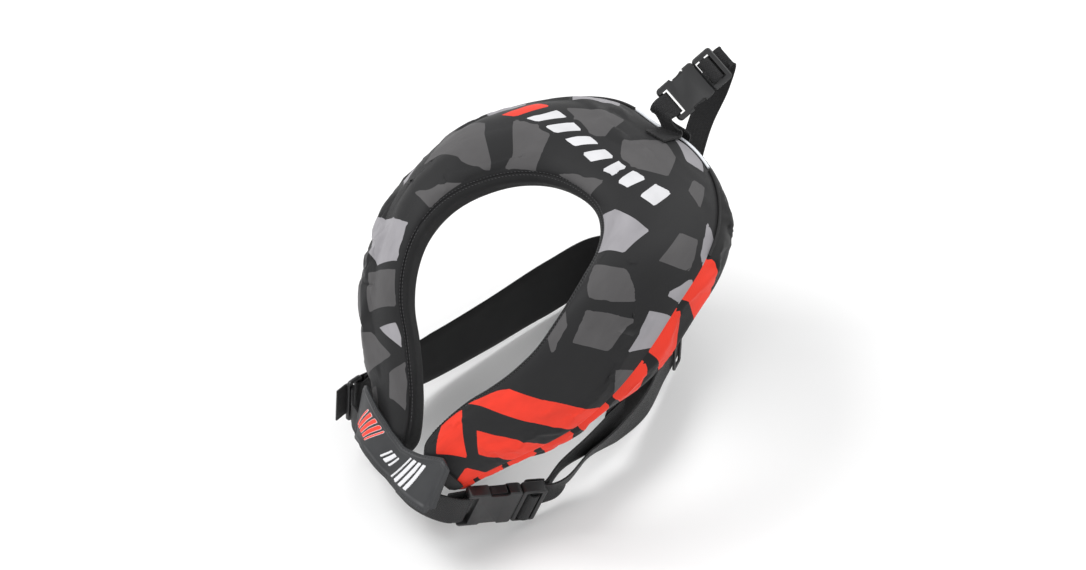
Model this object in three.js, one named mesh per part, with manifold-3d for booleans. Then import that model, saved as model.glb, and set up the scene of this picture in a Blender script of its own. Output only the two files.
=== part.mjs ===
// Inflatable life jacket: a horseshoe collar vest with a waist belt and a back strap.
// Millimetres. +X is the wearer's left, -Y the wearer's front, +Z up.
// The origin is the middle of the neck opening.
import * as THREE from 'three';
import { mergeVertices } from 'three/addons/utils/BufferGeometryUtils.js';
import Module from 'manifold-3d';

// Driving dimensions of the collar.
const collarHalfWidth = 158;
const neckHalfWidth = 83;
const neckDepth = 233;
const collarDepth = 374;
const neckRise = 171;
const napeEdgeRise = 159;
const rimThickness = 42;
const edgeThickness = 42;
const napeCrown = 24;
const lobeCrown = 10;
const clothThickness = 2;
const clearance = 0.3;
const bladderRoom = 2.5;
// Driving dimensions of the straps, in webbing widths and thicknesses.
const beltWebbing = 40;
const strapWebbing = 25;
const webbingThickness = 1.6;
const bandThickness = 3;
const backBandWidth = 76;
const beltHalfWidth = 98;
const beltDepth = 380;
const beltDrop = -56;
// Driving dimensions of the inflator and the hardware.
const cylinderRadius = 11;
const cylinderLength = 84;
const pullTravel = 25;
const patchLength = 122;
const patchEndWidth = 57;
const patchWaist = 38;
const patchThickness = 2.6;
const ringBar = 4;
const padThickness = 4;

const V = (x, y, z) => new THREE.Vector3(x, y, z);
const wasm = await Module();
wasm.setup();

// ---------------------------------------------------------------- finishes
const finish = (color, roughness, metalness = 0) =>
  new THREE.MeshStandardMaterial({ color, roughness, metalness });
const finishes = {
  printedCloth: finish(0x3a3939, 0.75),
  redCloth: finish(0xe8382a, 0.7),
  blackCloth: finish(0x101012, 0.85),
  webbing: finish(0x0c0c0d, 0.8),
  greyTape: finish(0xb8bcc0, 0.35),
  buckle: finish(0x2b2c2e, 0.45),
  patch: finish(0x3d3f42, 0.55),
  bladder: finish(0xf2d02c, 0.5),
  steel: finish(0x9ba0a6, 0.35, 0.9),
  inflator: finish(0x1d1f22, 0.5),
  toggle: finish(0x17181a, 0.4),
  tube: finish(0x1a1b1d, 0.6),
  whistle: finish(0xf07a1a, 0.45),
};

const jacket = new THREE.Group();
// Everything is laid out from the point where the two front lobes meet.
jacket.position.set(0, -125, -120);

function piece(name, geometry, material, parent = jacket) {
  const mesh = new THREE.Mesh(geometry, material);
  mesh.name = name;
  parent.add(mesh);
  return mesh;
}

// ---------------------------------------------------------------- solids
function signedVolume(positions, index) {
  let volume = 0;
  const at = (i) => V(positions[3 * i], positions[3 * i + 1], positions[3 * i + 2]);
  for (let k = 0; k < index.length; k += 3) {
    volume += at(index[k]).dot(at(index[k + 1]).cross(at(index[k + 2]))) / 6;
  }
  return volume;
}

// A closed solid through rings of points, each ring a simple polygon of as many points.
function loft(rings, capOutline) {
  const count = rings[0].length;
  const positions = rings.flat().flatMap((p) => [p.x, p.y, p.z]);
  const index = [];
  for (let r = 0; r + 1 < rings.length; r += 1) {
    for (let k = 0; k < count; k += 1) {
      const a = r * count + k;
      const b = r * count + ((k + 1) % count);
      index.push(a, b, a + count, b, b + count, a + count);
    }
  }
  const caps = THREE.ShapeUtils.triangulateShape(capOutline, []);
  const last = (rings.length - 1) * count;
  const area = THREE.ShapeUtils.area(capOutline);
  for (const [a, b, c] of caps) {
    if (area > 0) {
      index.push(a, c, b, last + a, last + b, last + c);
    } else {
      index.push(a, b, c, last + a, last + c, last + b);
    }
  }
  if (signedVolume(positions, index) < 0) {
    for (let k = 0; k < index.length; k += 3) {
      [index[k], index[k + 1]] = [index[k + 1], index[k]];
    }
  }
  const geometry = new THREE.BufferGeometry();
  geometry.setAttribute('position', new THREE.Float32BufferAttribute(positions, 3));
  geometry.setIndex(index);
  return geometry;
}

function toSolid(geometry) {
  const bare = geometry.clone();
  bare.deleteAttribute('normal');
  bare.deleteAttribute('uv');
  const merged = mergeVertices(bare, 1e-4);
  return new wasm.Manifold(new wasm.Mesh({
    numProp: 3,
    vertProperties: Float32Array.from(merged.attributes.position.array),
    triVerts: Uint32Array.from(merged.index.array),
  }));
}

function toGeometry(solid) {
  const mesh = solid.getMesh();
  const geometry = new THREE.BufferGeometry();
  geometry.setAttribute('position', new THREE.Float32BufferAttribute(mesh.vertProperties, 3));
  geometry.setIndex(Array.from(mesh.triVerts));
  return geometry;
}

const block = (x0, x1, y0, y1, z0, z1) =>
  new THREE.BoxGeometry(x1 - x0, y1 - y0, z1 - z0)
    .translate((x0 + x1) / 2, (y0 + y1) / 2, (z0 + z1) / 2);

// A plate in the XY plane, centred on z = 0.
function plate(shape, thickness, bevel = 0, curveSegments = 3) {
  const depth = thickness - 2 * bevel;
  const geometry = new THREE.ExtrudeGeometry(shape, {
    depth,
    steps: 1,
    curveSegments,
    bevelEnabled: bevel > 0,
    bevelThickness: bevel,
    bevelSize: bevel,
    bevelOffset: -bevel,
    bevelSegments: 1,
  });
  return geometry.translate(0, 0, -depth / 2);
}

function roundedRectangle(x0, x1, y0, y1, r) {
  const shape = new THREE.Shape();
  shape.moveTo(x0 + r, y0);
  shape.lineTo(x1 - r, y0);
  shape.absarc(x1 - r, y0 + r, r, -Math.PI / 2, 0);
  shape.lineTo(x1, y1 - r);
  shape.absarc(x1 - r, y1 - r, r, 0, Math.PI / 2);
  shape.lineTo(x0 + r, y1);
  shape.absarc(x0 + r, y1 - r, r, Math.PI / 2, Math.PI);
  shape.lineTo(x0, y0 + r);
  shape.absarc(x0 + r, y0 + r, r, Math.PI, 1.5 * Math.PI);
  return shape;
}

// A tube of a round section along a smooth path.
function cordAlong(points, radius, steps, sides = 8) {
  const section = new THREE.Shape();
  section.absarc(0, 0, radius, 0, 2 * Math.PI);
  return new THREE.ExtrudeGeometry(section, {
    steps,
    curveSegments: sides / 2,
    bevelEnabled: false,
    extrudePath: new THREE.CatmullRomCurve3(points),
  });
}

// A flat strap along a path. Each stop is [centre, across, half width].
function ribbon(stops, thickness, steps) {
  const centres = new THREE.CatmullRomCurve3(stops.map((s) => s[0]));
  const acrosses = new THREE.CatmullRomCurve3(stops.map((s) => s[1].clone().normalize()));
  const rings = [];
  for (let k = 0; k <= steps; k += 1) {
    const t = k / steps;
    const place = t * (stops.length - 1);
    const from = Math.min(Math.floor(place), stops.length - 2);
    const half = THREE.MathUtils.lerp(stops[from][2], stops[from + 1][2], place - from);
    const centre = centres.getPoint(t);
    const along = centres.getTangent(t);
    const across = acrosses.getPoint(t);
    across.addScaledVector(along, -across.dot(along)).normalize().multiplyScalar(half);
    const out = along.clone().cross(across).normalize().multiplyScalar(thickness / 2);
    rings.push([
      centre.clone().add(across).add(out),
      centre.clone().sub(across).add(out),
      centre.clone().sub(across).sub(out),
      centre.clone().add(across).sub(out),
    ]);
  }
  const square = [[1, 1], [-1, 1], [-1, -1], [1, -1]].map(([x, y]) => new THREE.Vector2(x, y));
  return loft(rings, square);
}

// ---------------------------------------------------------------- the collar's form
// Matching places on the neck rim and on the outer edge, from the middle of the nape to the
// front tip of the wearer's left lobe: [rim x, y, z, edge x, y, z].
const collarStations = [
  [0, 233, 171, 0, 374, 159],
  [30, 228, 170, 42, 373, 158],
  [54, 208, 171, 84, 355, 153],
  [70, 180, 171, 121, 315, 150],
  [79, 150, 169, 144, 266, 147],
  [83, 126, 161, 155, 209, 136],
  [83, 106, 148, 158, 160, 112],
  [78, 87, 127, 153, 119, 83],
  [66, 70, 104, 141, 90, 58],
  [50, 58, 81, 120, 66, 35],
  [33, 43, 61, 98, 47, 15],
  [19, 29, 40, 77, 31, -4],
  [9, 13, 17, 60, 16, -21],
  [8, 1, -4, 49, 5, -34],
];
const fitStation = ([rx, ry, rz, ex, ey, ez]) => ({
  rim: V(rx * neckHalfWidth / 83, ry * neckDepth / 233, rz * neckRise / 171),
  edge: V(ex * collarHalfWidth / 158, ey * collarDepth / 374, ez * napeEdgeRise / 159),
});
const fitted = collarStations.map(fitStation);
const mirrored = (v) => V(-v.x, v.y, v.z);
const wholeWay = [...fitted.slice(1).reverse().map(({ rim, edge }) => (
  { rim: mirrored(rim), edge: mirrored(edge) })), ...fitted];
const rimCurve = new THREE.CatmullRomCurve3(wholeWay.map((s) => s.rim));
const edgeCurve = new THREE.CatmullRomCurve3(wholeWay.map((s) => s.edge));
const rimDown = V(0, 0.6, -0.8);
const tipStart = 0.93;

// The way that the outer wall runs down: upright at the nape, spreading out at the sides and
// tucked under the front lobes.
function edgeDown(t) {
  const side = THREE.MathUtils.smoothstep(Math.abs(t), 0.05, 0.35);
  const tuck = THREE.MathUtils.smoothstep(Math.abs(t), 0.42, 0.62);
  const out = THREE.MathUtils.lerp(0.2 * side, -0.38, tuck);
  const back = THREE.MathUtils.lerp(0.08 + 0.36 * side, 0.8, tuck);
  const down = THREE.MathUtils.lerp(-0.95, -0.52, tuck);
  return V(out * Math.sign(t), back, down).normalize();
}

const tipTaper = (t) => {
  const past = Math.max(0, Math.abs(t) - tipStart) / (1 - tipStart);
  return Math.sqrt(1 - 0.8 * past * past);
};

// Point of the collar at t (-1 right tip, 0 nape, 1 left tip), a across (0 neck rim, 1 outer
// edge) and b up (0 back, 1 front face).
function collarPoint(t, a, b) {
  const way = (t + 1) / 2;
  const rim = rimCurve.getPoint(way);
  const edge = edgeCurve.getPoint(way);
  const thin = 1 - 0.18 * Math.max(0, Math.abs(t) - 0.4) / 0.6;
  const down = V(0, 0, 0).addScaledVector(rimDown, (1 - a) * rimThickness * thin * (1 - b))
    .addScaledVector(edgeDown(t), a * edgeThickness * thin * (1 - b));
  const puff = THREE.MathUtils.lerp(napeCrown, lobeCrown,
    THREE.MathUtils.smoothstep(Math.abs(t), 0.2, 0.55));
  const crown = puff * 4 * a * (1 - a) * b * b;
  return rim.lerp(edge, a).add(down).addScaledVector(rimDown, -crown);
}

// The sizes of the section at t, across and up.
function sectionSize(t) {
  const across = collarPoint(t, 0, 0.5).distanceTo(collarPoint(t, 1, 0.5));
  const up = collarPoint(t, 0.5, 0).distanceTo(collarPoint(t, 0.5, 1));
  return { across, up };
}

// A rounded section: its point at an angle, inset millimetres in from the outer skin.
function skinPoint(t, degrees, inset) {
  const { across, up } = sectionSize(t);
  const angle = THREE.MathUtils.degToRad(degrees);
  const soften = (c) => Math.sign(c) * Math.abs(c) ** 0.55;
  const taper = tipTaper(t);
  const a = 0.5 + soften(Math.cos(angle)) * (0.5 * taper - inset / across);
  const b = 0.5 + soften(Math.sin(angle)) * (0.5 * taper - inset / up);
  return collarPoint(t, a, b);
}

// A cloth panel over part of the skin, from one angle to another and from t0 to t1.
function panel(t0, t1, fromDegrees, toDegrees, steps, cuts, inset = 0, thickness = clothThickness) {
  const rings = [];
  const outline = [];
  for (let s = 0; s <= steps; s += 1) {
    const t = THREE.MathUtils.lerp(t0, t1, s / steps);
    const ring = [];
    for (let k = 0; k <= cuts; k += 1) {
      ring.push(skinPoint(t, THREE.MathUtils.lerp(fromDegrees, toDegrees, k / cuts), inset));
    }
    for (let k = cuts; k >= 0; k -= 1) {
      ring.push(skinPoint(t, THREE.MathUtils.lerp(fromDegrees, toDegrees, k / cuts),
        inset + thickness));
    }
    rings.push(ring);
  }
  for (const depth of [1, 0.8]) {
    const row = [];
    for (let k = 0; k <= cuts; k += 1) {
      const angle = THREE.MathUtils.degToRad(THREE.MathUtils.lerp(fromDegrees, toDegrees, k / cuts));
      row.push(new THREE.Vector2(depth * Math.cos(angle), depth * Math.sin(angle)));
    }
    outline.push(...(depth === 1 ? row : row.reverse()));
  }
  return loft(rings, outline);
}

// A full section swept from t0 to t1, inset from the skin and filled only between two heights.
function filling(t0, t1, steps, sides, inset, top, narrower = 0) {
  const rings = [];
  for (let s = 0; s <= steps; s += 1) {
    const t = THREE.MathUtils.lerp(t0, t1, s / steps);
    const { across, up } = sectionSize(t);
    const ring = [];
    for (let k = 0; k < sides; k += 1) {
      const angle = 2 * Math.PI * k / sides;
      const soften = (c) => Math.sign(c) * Math.abs(c) ** 0.6;
      const a = 0.5 + soften(Math.cos(angle)) * (0.5 - inset / across - narrower * (1 - top(t)));
      const low = inset / up;
      const b = low + (1 + soften(Math.sin(angle))) / 2 * (top(t) - 2 * low);
      ring.push(collarPoint(t, a, b));
    }
    rings.push(ring);
  }
  const outline = rings[0].map((_, k) => new THREE.Vector2(
    Math.cos(2 * Math.PI * k / sides), Math.sin(2 * Math.PI * k / sides)));
  return loft(rings, outline);
}

// ---------------------------------------------------------------- the cover
const lobeSeam = 0.42;
const seamGap = 0.001;
const spans = {
  left: [lobeSeam + seamGap, 1, 11],
  nape: [-lobeSeam + seamGap, lobeSeam - seamGap, 16],
  right: [-1, -lobeSeam - seamGap, 11],
};
const seamDegrees = 2.2;
const faces = {
  cover_panel: [33, 147, 7, finishes.printedCloth],
  side_panel: [-33, 33 - seamDegrees, 3, finishes.redCloth],
  back_lining: [-147 + seamDegrees, -33 - seamDegrees, 5, finishes.blackCloth],
  neck_lining: [147 + seamDegrees, 213 - seamDegrees, 3, finishes.blackCloth],
};
for (const [face, [from, to, cuts, cloth]] of Object.entries(faces)) {
  for (const [side, [t0, t1, steps]] of Object.entries(spans)) {
    piece(`${face}_${side}`, panel(t0, t1, from, to, steps, cuts), cloth);
  }
}

// Reflective piping along the seam at the back of the nape.
const pipingPoints = [];
for (let t = -0.3; t <= 0.301; t += 0.06) {
  pipingPoints.push(skinPoint(t, 33, -2.6 - clearance));
}
piece('nape_piping', cordAlong(pipingPoints, 1, 24, 6), finishes.greyTape);

// The folded bladder: full over the nape and the shoulders, a flat tongue under the hardware.
const bladderTop = (t) => {
  const rightTongue = THREE.MathUtils.smoothstep(-t, 0.46, 0.54);
  const leftTongue = THREE.MathUtils.smoothstep(t, 0.56, 0.64);
  return 0.94 - 0.62 * Math.max(rightTongue, leftTongue);
};
piece('bladder', filling(-0.86, 0.86, 36, 10, clothThickness + bladderRoom, bladderTop, 0.2),
  finishes.bladder);

// ---------------------------------------------------------------- frames for hardware
// A group whose X, Y and Z axes lie along the given ways, at a point.
function bench(origin, along, upHint) {
  const x = along.clone().normalize();
  const z = upHint.clone().addScaledVector(x, -upHint.dot(x)).normalize();
  const y = z.clone().cross(x);
  const group = new THREE.Group();
  group.applyMatrix4(new THREE.Matrix4().makeBasis(x, y, z).setPosition(origin));
  jacket.add(group);
  return group;
}

// A webbing tab folded round a bar that lies along the bench's Y axis at x = 0. Both layers run
// the given length towards -X (way = -1) or +X (way = 1).
function foldedTab(barRadius, length, way, halfWidth, lift = 0) {
  const r = barRadius + clearance + webbingThickness / 2;
  const across = V(0, 1, 0);
  const stops = [];
  const stop = (x, z) => stops.push([V(x, 0, z + lift), across, halfWidth]);
  stop(way * length, r * 0.5);
  stop(way * length * 0.6, r * 0.6);
  stop(way * r * 1.2, r * 0.95);
  for (let k = 0; k <= 6; k += 1) {
    const angle = Math.PI / 2 - Math.PI * k / 6;
    stop(-way * r * Math.cos(angle), r * Math.sin(angle));
  }
  stop(way * r * 1.2, -r * 0.95);
  stop(way * length * 0.6, -r * 0.6);
  stop(way * length, -r * 0.5);
  return ribbon(stops, webbingThickness, 34);
}

// ---------------------------------------------------------------- side-release buckles
// Along X from the socket's webbing bar (x = 0) to the plug's end bar, width along Y.
function buckleSizes(webbing) {
  const width = webbing * 0.75 + 19.5;
  const thick = webbing * 0.2 + 5;
  const socket = webbing * 0.75 + 23;
  const plug = webbing * 0.2 + 17;
  return {
    width, thick, socket, plug,
    bar: 5,
    slot: 5.4,
    wall: 2.2,
    window: [socket * 0.36, socket * 0.74],
    prongReach: socket * 0.6,
    tongue: webbing * 0.16,
  };
}

function socketSolid(s, webbing) {
  const half = s.width / 2;
  const shape = roundedRectangle(-s.bar / 2, s.socket, -half, half, 4);
  let solid = toSolid(plate(shape, s.thick, 1.2));
  const slotStart = s.bar / 2;
  const webHalf = webbing / 2 + 1;
  solid = solid.subtract(toSolid(block(slotStart, slotStart + s.slot, -webHalf, webHalf, -50, 50)));
  for (const way of [-1, 1]) {
    const relief = block(-s.bar, slotStart + s.slot, -webHalf, webHalf, s.bar / 2, s.thick);
    solid = solid.subtract(toSolid(way > 0 ? relief : relief.rotateX(Math.PI)));
  }
  const hollow = block(slotStart + s.slot + 4, s.socket + 5, -half + s.wall, half - s.wall,
    -s.thick / 2 + s.wall, s.thick / 2 - s.wall);
  solid = solid.subtract(toSolid(hollow));
  for (const side of [-1, 1]) {
    const [w0, w1] = s.window;
    const notch = roundedRectangle(w0, w1, half - 3.4, half + 8, 3);
    const cut = plate(notch, s.thick * 2);
    solid = solid.subtract(toSolid(side > 0 ? cut : cut.clone().rotateZ(Math.PI)
      .translate(w0 + w1, 0, 0)));
    const slit = block(w0, w1, side > 0 ? half - 12 : -half, side > 0 ? half : -half + 12,
      -s.thick / 2 + s.wall, s.thick / 2 - s.wall);
    solid = solid.subtract(toSolid(slit));
  }
  return solid;
}

function plugSolid(s, webbing) {
  const half = s.width / 2 - 0.6;
  const start = s.socket + clearance;
  const end = start + s.plug;
  const base = roundedRectangle(start, end, -half, half, 3.5);
  let solid = toSolid(plate(base, s.thick, 1.2));
  const webHalf = webbing / 2 + 1;
  for (const slotStart of plugSlots(s)) {
    solid = solid.subtract(toSolid(
      block(slotStart, slotStart + s.slot, -webHalf, webHalf, -50, 50)));
  }
  const tongue = roundedRectangle(start - s.prongReach, start + 2, -s.tongue, s.tongue, 2);
  return solid.add(toSolid(plate(tongue, s.thick - 2 * s.wall - 1.2)));
}

// Where the plug's two webbing slots start.
function plugSlots(s) {
  const start = s.socket + clearance;
  const last = start + s.plug - s.bar - s.slot;
  return [last - s.slot - s.bar, last];
}

// A prong, drawn on the +Y side: a slim spring leg with a barbed head in the side window.
function prongSolid(s, side) {
  const half = s.width / 2;
  const root = s.socket;
  const [w0, w1] = s.window;
  const shape = new THREE.Shape();
  shape.moveTo(root, half - 8);
  shape.lineTo(root, half - 4);
  shape.lineTo(w1 + 1, half - 4);
  shape.lineTo(w1 - 0.6, half - 3.6);
  shape.quadraticCurveTo(w1 - 1.2, half - 0.8, w1 - 3, half - 0.6);
  shape.quadraticCurveTo((w0 + w1) / 2, half - 2.6, w0 + 3, half - 2);
  shape.quadraticCurveTo(w0 + 0.6, half - 3, w0 + 0.6, half - 8);
  shape.lineTo(w1 - 4, half - 8.4);
  const geometry = plate(shape, s.thick - 2 * s.wall - 0.8, 0, 3);
  return side > 0 ? geometry : geometry.rotateX(Math.PI);
}

function buckle(prefix, group, webbing) {
  const sizes = buckleSizes(webbing);
  piece(`${prefix}_socket`, toGeometry(socketSolid(sizes, webbing)), finishes.buckle, group);
  piece(`${prefix}_plug`, toGeometry(plugSolid(sizes, webbing)), finishes.buckle, group);
  piece(`${prefix}_prong_a`, prongSolid(sizes, 1), finishes.buckle, group);
  piece(`${prefix}_prong_b`, prongSolid(sizes, -1), finishes.buckle, group);
  return sizes;
}

// The way that webbing threads the plug: in under the end bar, up the inner slot, over the
// ladder bar, down the outer slot and out again as a tail.
function ladderThread(s) {
  const [inner, outer] = plugSlots(s);
  const end = s.socket + clearance + s.plug;
  const low = -s.thick / 2 - webbingThickness / 2 - 0.8;
  const lower = low - webbingThickness - 0.9;
  const top = s.thick / 2 + webbingThickness / 2 + 0.8;
  const bend = 1.9;
  return {
    load: [[end + 6, lower - 1], [outer + s.slot, lower - 0.3], [inner + s.slot * 0.8, lower],
      [inner + s.slot / 2 - 0.4, lower + bend], [inner + s.slot / 2, 0]],
    over: [[inner + s.slot / 2 + 0.4, top - bend], [inner + s.slot / 2 + bend, top],
      [outer + s.slot / 2 - bend, top], [outer + s.slot / 2 - 0.4, top - bend],
      [outer + s.slot / 2, 0], [outer + s.slot / 2 + 0.4, low + bend],
      [outer + s.slot / 2 + bend + 0.6, low]],
    tail: [[end + 2, low], [end + 9, low - 0.6]],
  };
}

const fromBench = (group, x, y, z) => {
  group.updateMatrix();
  return V(x, y, z).applyMatrix4(group.matrix);
};
const wayFromBench = (group, x, y, z) => {
  group.updateMatrix();
  return V(x, y, z).transformDirection(group.matrix);
};

// ---------------------------------------------------------------- front buckle and its tab
const frontBench = bench(V(56, 14, -46), V(0.481, 0.838, -0.262), V(0.833, -0.531, -0.168));
const frontSizes = buckle('front', frontBench, beltWebbing);
const halfBelt = beltWebbing / 2 - 1;
const frontOut = wayFromBench(frontBench, 0, 0, 1);
const frontAcross = wayFromBench(frontBench, 0, 1, 0);
const onFrontBar = (x, z) => fromBench(frontBench, x, 0, z);
const upright = V(0, 0, 1);
// Places round a bar at the given middle, on the side that the way points to, from above the
// bar to below it.
const roundBar = (place, middle, way, radius) => [90, 50, 15, -15, -50, -90].map((degrees) => {
  const angle = THREE.MathUtils.degToRad(degrees);
  return place(middle + way * radius * Math.cos(angle), radius * Math.sin(angle));
});
const barTurn = (bar) => bar * 0.71 + clearance + webbingThickness / 2;
const frontTurn = barTurn(frontSizes.bar);
const frontStop = (x, z) => [onFrontBar(x, z), frontAcross, halfBelt];
piece('front_tab', ribbon([
  [V(-14, -3, -43), upright, halfBelt],
  [V(10, -8, -43), upright, halfBelt],
  [V(34, -6, -43), upright, halfBelt],
  frontStop(-10, frontTurn * 0.9),
  ...roundBar(frontStop, 0, 1, frontTurn),
  frontStop(-10, -frontTurn * 0.8),
  frontStop(-20, -frontTurn * 0.6),
], webbingThickness, 42), finishes.webbing);

// ---------------------------------------------------------------- belt
// The wide padded band, from the ring on the wearer's right round the back to the left.
const bandStop = (x, y, z, half) => [
  V(x * beltHalfWidth / 98, y * beltDepth / 380, z * beltDrop / -56), upright, half];
const halfBack = backBandWidth / 2;
const bandStops = [
  bandStop(-105, 53, -31, halfBelt),
  bandStop(-104, 90, -38, halfBelt + 4),
  bandStop(-99, 140, -51, halfBack - 6),
  bandStop(-88, 215, -56, halfBack - 3),
  bandStop(-76, 290, -56, halfBack),
  bandStop(-60, 352, -56, halfBack),
  bandStop(-22, 379, -56, halfBack),
  bandStop(20, 376, -56, halfBack),
  bandStop(54, 342, -56, halfBack - 2),
  bandStop(76, 285, -54, halfBack - 4),
  bandStop(89, 228, -50, halfBack - 8),
  bandStop(95, 176, -44, halfBelt + 1),
];
piece('belt_band', ribbon(bandStops, bandThickness, 48), finishes.blackCloth);
const bandCurve = new THREE.CatmullRomCurve3(bandStops.map((stop) => stop[0]));
const onBand = (stop) => bandCurve.getPoint(stop / (bandStops.length - 1));
const offBand = bandThickness / 2 + clearance + webbingThickness / 2;
// A place beside the band, counted in its stops, out from its middle by some millimetres.
function besideBand(stop, out) {
  const along = bandCurve.getTangent(stop / (bandStops.length - 1));
  return onBand(stop).addScaledVector(upright.clone().cross(along).normalize(), out);
}

// The webbing from the band's left end: forward to the plug, through its ladder, and back along
// the outside of the band to the slider. The slider's middle bar lies between it and the band.
const slideStop = 8.62;
const sliderBar = 2.2;
const sliderGap = 0.9;
const offSlider = bandThickness / 2 + clearance + sliderBar + sliderGap + webbingThickness / 2;
const slideWay = bandCurve.getTangent(slideStop / (bandStops.length - 1));
const sliderBench = bench(besideBand(slideStop, offSlider), slideWay,
  besideBand(slideStop, 9).sub(onBand(slideStop)));
const sliderAcross = wayFromBench(sliderBench, 0, -1, 0);
const onSlider = (x) => [fromBench(sliderBench, x, 0, 0), sliderAcross, halfBelt];
const thread = ladderThread(frontSizes);
const threadStop = ([x, z]) => [onFrontBar(x, z), frontAcross, halfBelt];
piece('belt_webbing', ribbon([
  [besideBand(10.5, offBand + 0.7), upright, halfBelt],
  [besideBand(10.95, offBand + 0.9), upright, halfBelt],
  [V(97, 144, -43), V(0.2, -0.28, 0.94), halfBelt],
  [V(91, 116, -50), V(0.3, -0.42, 0.86), halfBelt],
  ...thread.load.map(threadStop),
  ...thread.over.map(threadStop),
  ...thread.tail.map(threadStop),
  [V(102, 108, -58), V(0.36, -0.42, 0.83), halfBelt],
  [V(101, 146, -53), V(0.38, -0.48, 0.79), halfBelt],
  [V(105, 188, -52), V(0.24, -0.3, 0.92), halfBelt],
  [V(101, 232, -53), V(0.08, -0.1, 0.99), halfBelt],
  onSlider(30), onSlider(20), onSlider(10), onSlider(0), onSlider(-10), onSlider(-20),
], webbingThickness, 92), finishes.webbing);

// The slider that keeps the webbing's tail on the band: a frame outside it and a bar inside it.
const sliderHalf = beltWebbing / 2 + 4;
const sliderLength = 19;
const sliderFrame = roundedRectangle(-sliderLength / 2, sliderLength / 2, -sliderHalf,
  sliderHalf, 4);
sliderFrame.holes.push(roundedRectangle(-6, 6, -beltWebbing / 2 - 0.5, beltWebbing / 2 + 0.5, 1));
const frameUnder = webbingThickness / 2 + sliderGap;
const frameThick = 2.6;
let sliderSolid = toSolid(plate(sliderFrame, frameThick, 0.7)
  .translate(0, 0, frameUnder + frameThick / 2));
sliderSolid = sliderSolid.add(toSolid(block(-2.2, 2.2, -sliderHalf + 0.8, sliderHalf - 0.8,
  -frameUnder - sliderBar, -frameUnder)));
for (const way of [-1, 1]) {
  const cheek = block(-2.2, 2.2, sliderHalf - 3, sliderHalf - 0.8, -frameUnder - sliderBar,
    frameUnder + 1);
  sliderSolid = sliderSolid.add(toSolid(way > 0 ? cheek : cheek.rotateZ(Math.PI)));
}
piece('tail_slider', toGeometry(sliderSolid), finishes.buckle, sliderBench);

// ---------------------------------------------------------------- ring on the wearer's right
const ringBench = bench(onBand(0).add(V(-0.6, -13, 1)), V(0.03, 0.99, -0.1), V(-1, 0.03, 0));
const ringInner = beltWebbing / 2 + 1;
const ringHalf = 9;
const ringShape = roundedRectangle(-ringHalf, ringHalf, -ringInner - ringBar,
  ringInner + ringBar, 4);
ringShape.holes.push(roundedRectangle(-ringHalf + ringBar, ringHalf - ringBar, -ringInner,
  ringInner, 1));
piece('belt_ring', plate(ringShape, ringBar, 0.8), finishes.buckle, ringBench);
const onRing = (x, z) => [fromBench(ringBench, x, 0, z), wayFromBench(ringBench, 0, -1, 0),
  halfBelt];
const ringTurn = barTurn(ringBar) + 0.38;
const barPlace = ringHalf - ringBar / 2;
piece('ring_webbing', ribbon([
  [V(-64, 14, -40), upright, halfBelt],
  [V(-80, 20, -37), upright, halfBelt],
  [V(-93, 25, -33), upright, halfBelt],
  ...roundBar(onRing, -barPlace, 1, ringTurn).reverse(),
  onRing(-barPlace - 7, ringTurn * 0.9),
  onRing(-barPlace - 13, ringTurn * 0.8),
], webbingThickness, 48), finishes.webbing);
piece('band_end_loop', ribbon([
  [besideBand(0.55, -offBand - 0.3), upright, halfBelt],
  [besideBand(0.25, -offBand - 0.3), upright, halfBelt],
  ...roundBar(onRing, barPlace, -1, ringTurn).reverse(),
  [besideBand(0.25, offBand + 0.3), upright, halfBelt],
  [besideBand(0.55, offBand + 0.3), upright, halfBelt],
], webbingThickness, 44), finishes.webbing);

// ---------------------------------------------------------------- front patch
const patchAcross = V(-0.1, 0.55, 0.83);
const patchStop = (x, y, z, half, across = patchAcross) => [
  V(x * patchLength / 122, y, z), across, half];
const patchEnd = patchEndWidth / 2;
piece('front_patch', ribbon([
  patchStop(-77, 19, -9, patchEnd - 9, V(0, 0.3, 0.95)),
  patchStop(-70, 13, -4, patchEnd, V(0, 0.36, 0.93)),
  patchStop(-51, 3, -2, patchEnd - 6, V(-0.05, 0.48, 0.87)),
  patchStop(-30, -4, -7, patchWaist / 2 + 1),
  patchStop(-9, -8, -12, patchWaist / 2),
  patchStop(17, -12, -10, patchEnd - 6, V(0.15, 0.62, 0.76)),
  patchStop(43, -12, -4, patchEnd - 1, V(0.25, 0.65, 0.7)),
  patchStop(52, -10, -5, patchEnd - 9, V(0.25, 0.65, 0.7)),
], patchThickness, 18), finishes.patch);

// ---------------------------------------------------------------- nape buckle and back strap
const topBench = bench(V(9.5, 373, 184), V(0.28, 0.84, 0.463), V(0.455, -0.5416, 0.7071));
const topSizes = buckle('nape', topBench, strapWebbing);
const halfStrap = strapWebbing / 2 - 0.5;
const topAcross = wayFromBench(topBench, 0, 1, 0);
const onTop = (x, z, half = halfStrap) => [fromBench(topBench, x, 0, z), topAcross, half];
const level = V(-1, 0, 0);
const tabPlace = 0.035;
const onNape = (degrees, lift) => [skinPoint(tabPlace, degrees, -lift), level, halfStrap];
const topTurn = barTurn(topSizes.bar) + 0.5;
const topStop = (x, z) => onTop(x, z);
piece('nape_tab', ribbon([
  onNape(66, 2.2), onNape(54, 2.6), onNape(45, 5.2),
  onTop(-10, topTurn * 1.3),
  ...roundBar(topStop, 0, 1, topTurn),
  onTop(-8, -topTurn * 1.4),
  onNape(26, 6.5), onNape(14, 2.6), onNape(2, 1.9), onNape(-8, 1.9),
], webbingThickness, 42), finishes.webbing);

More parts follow.
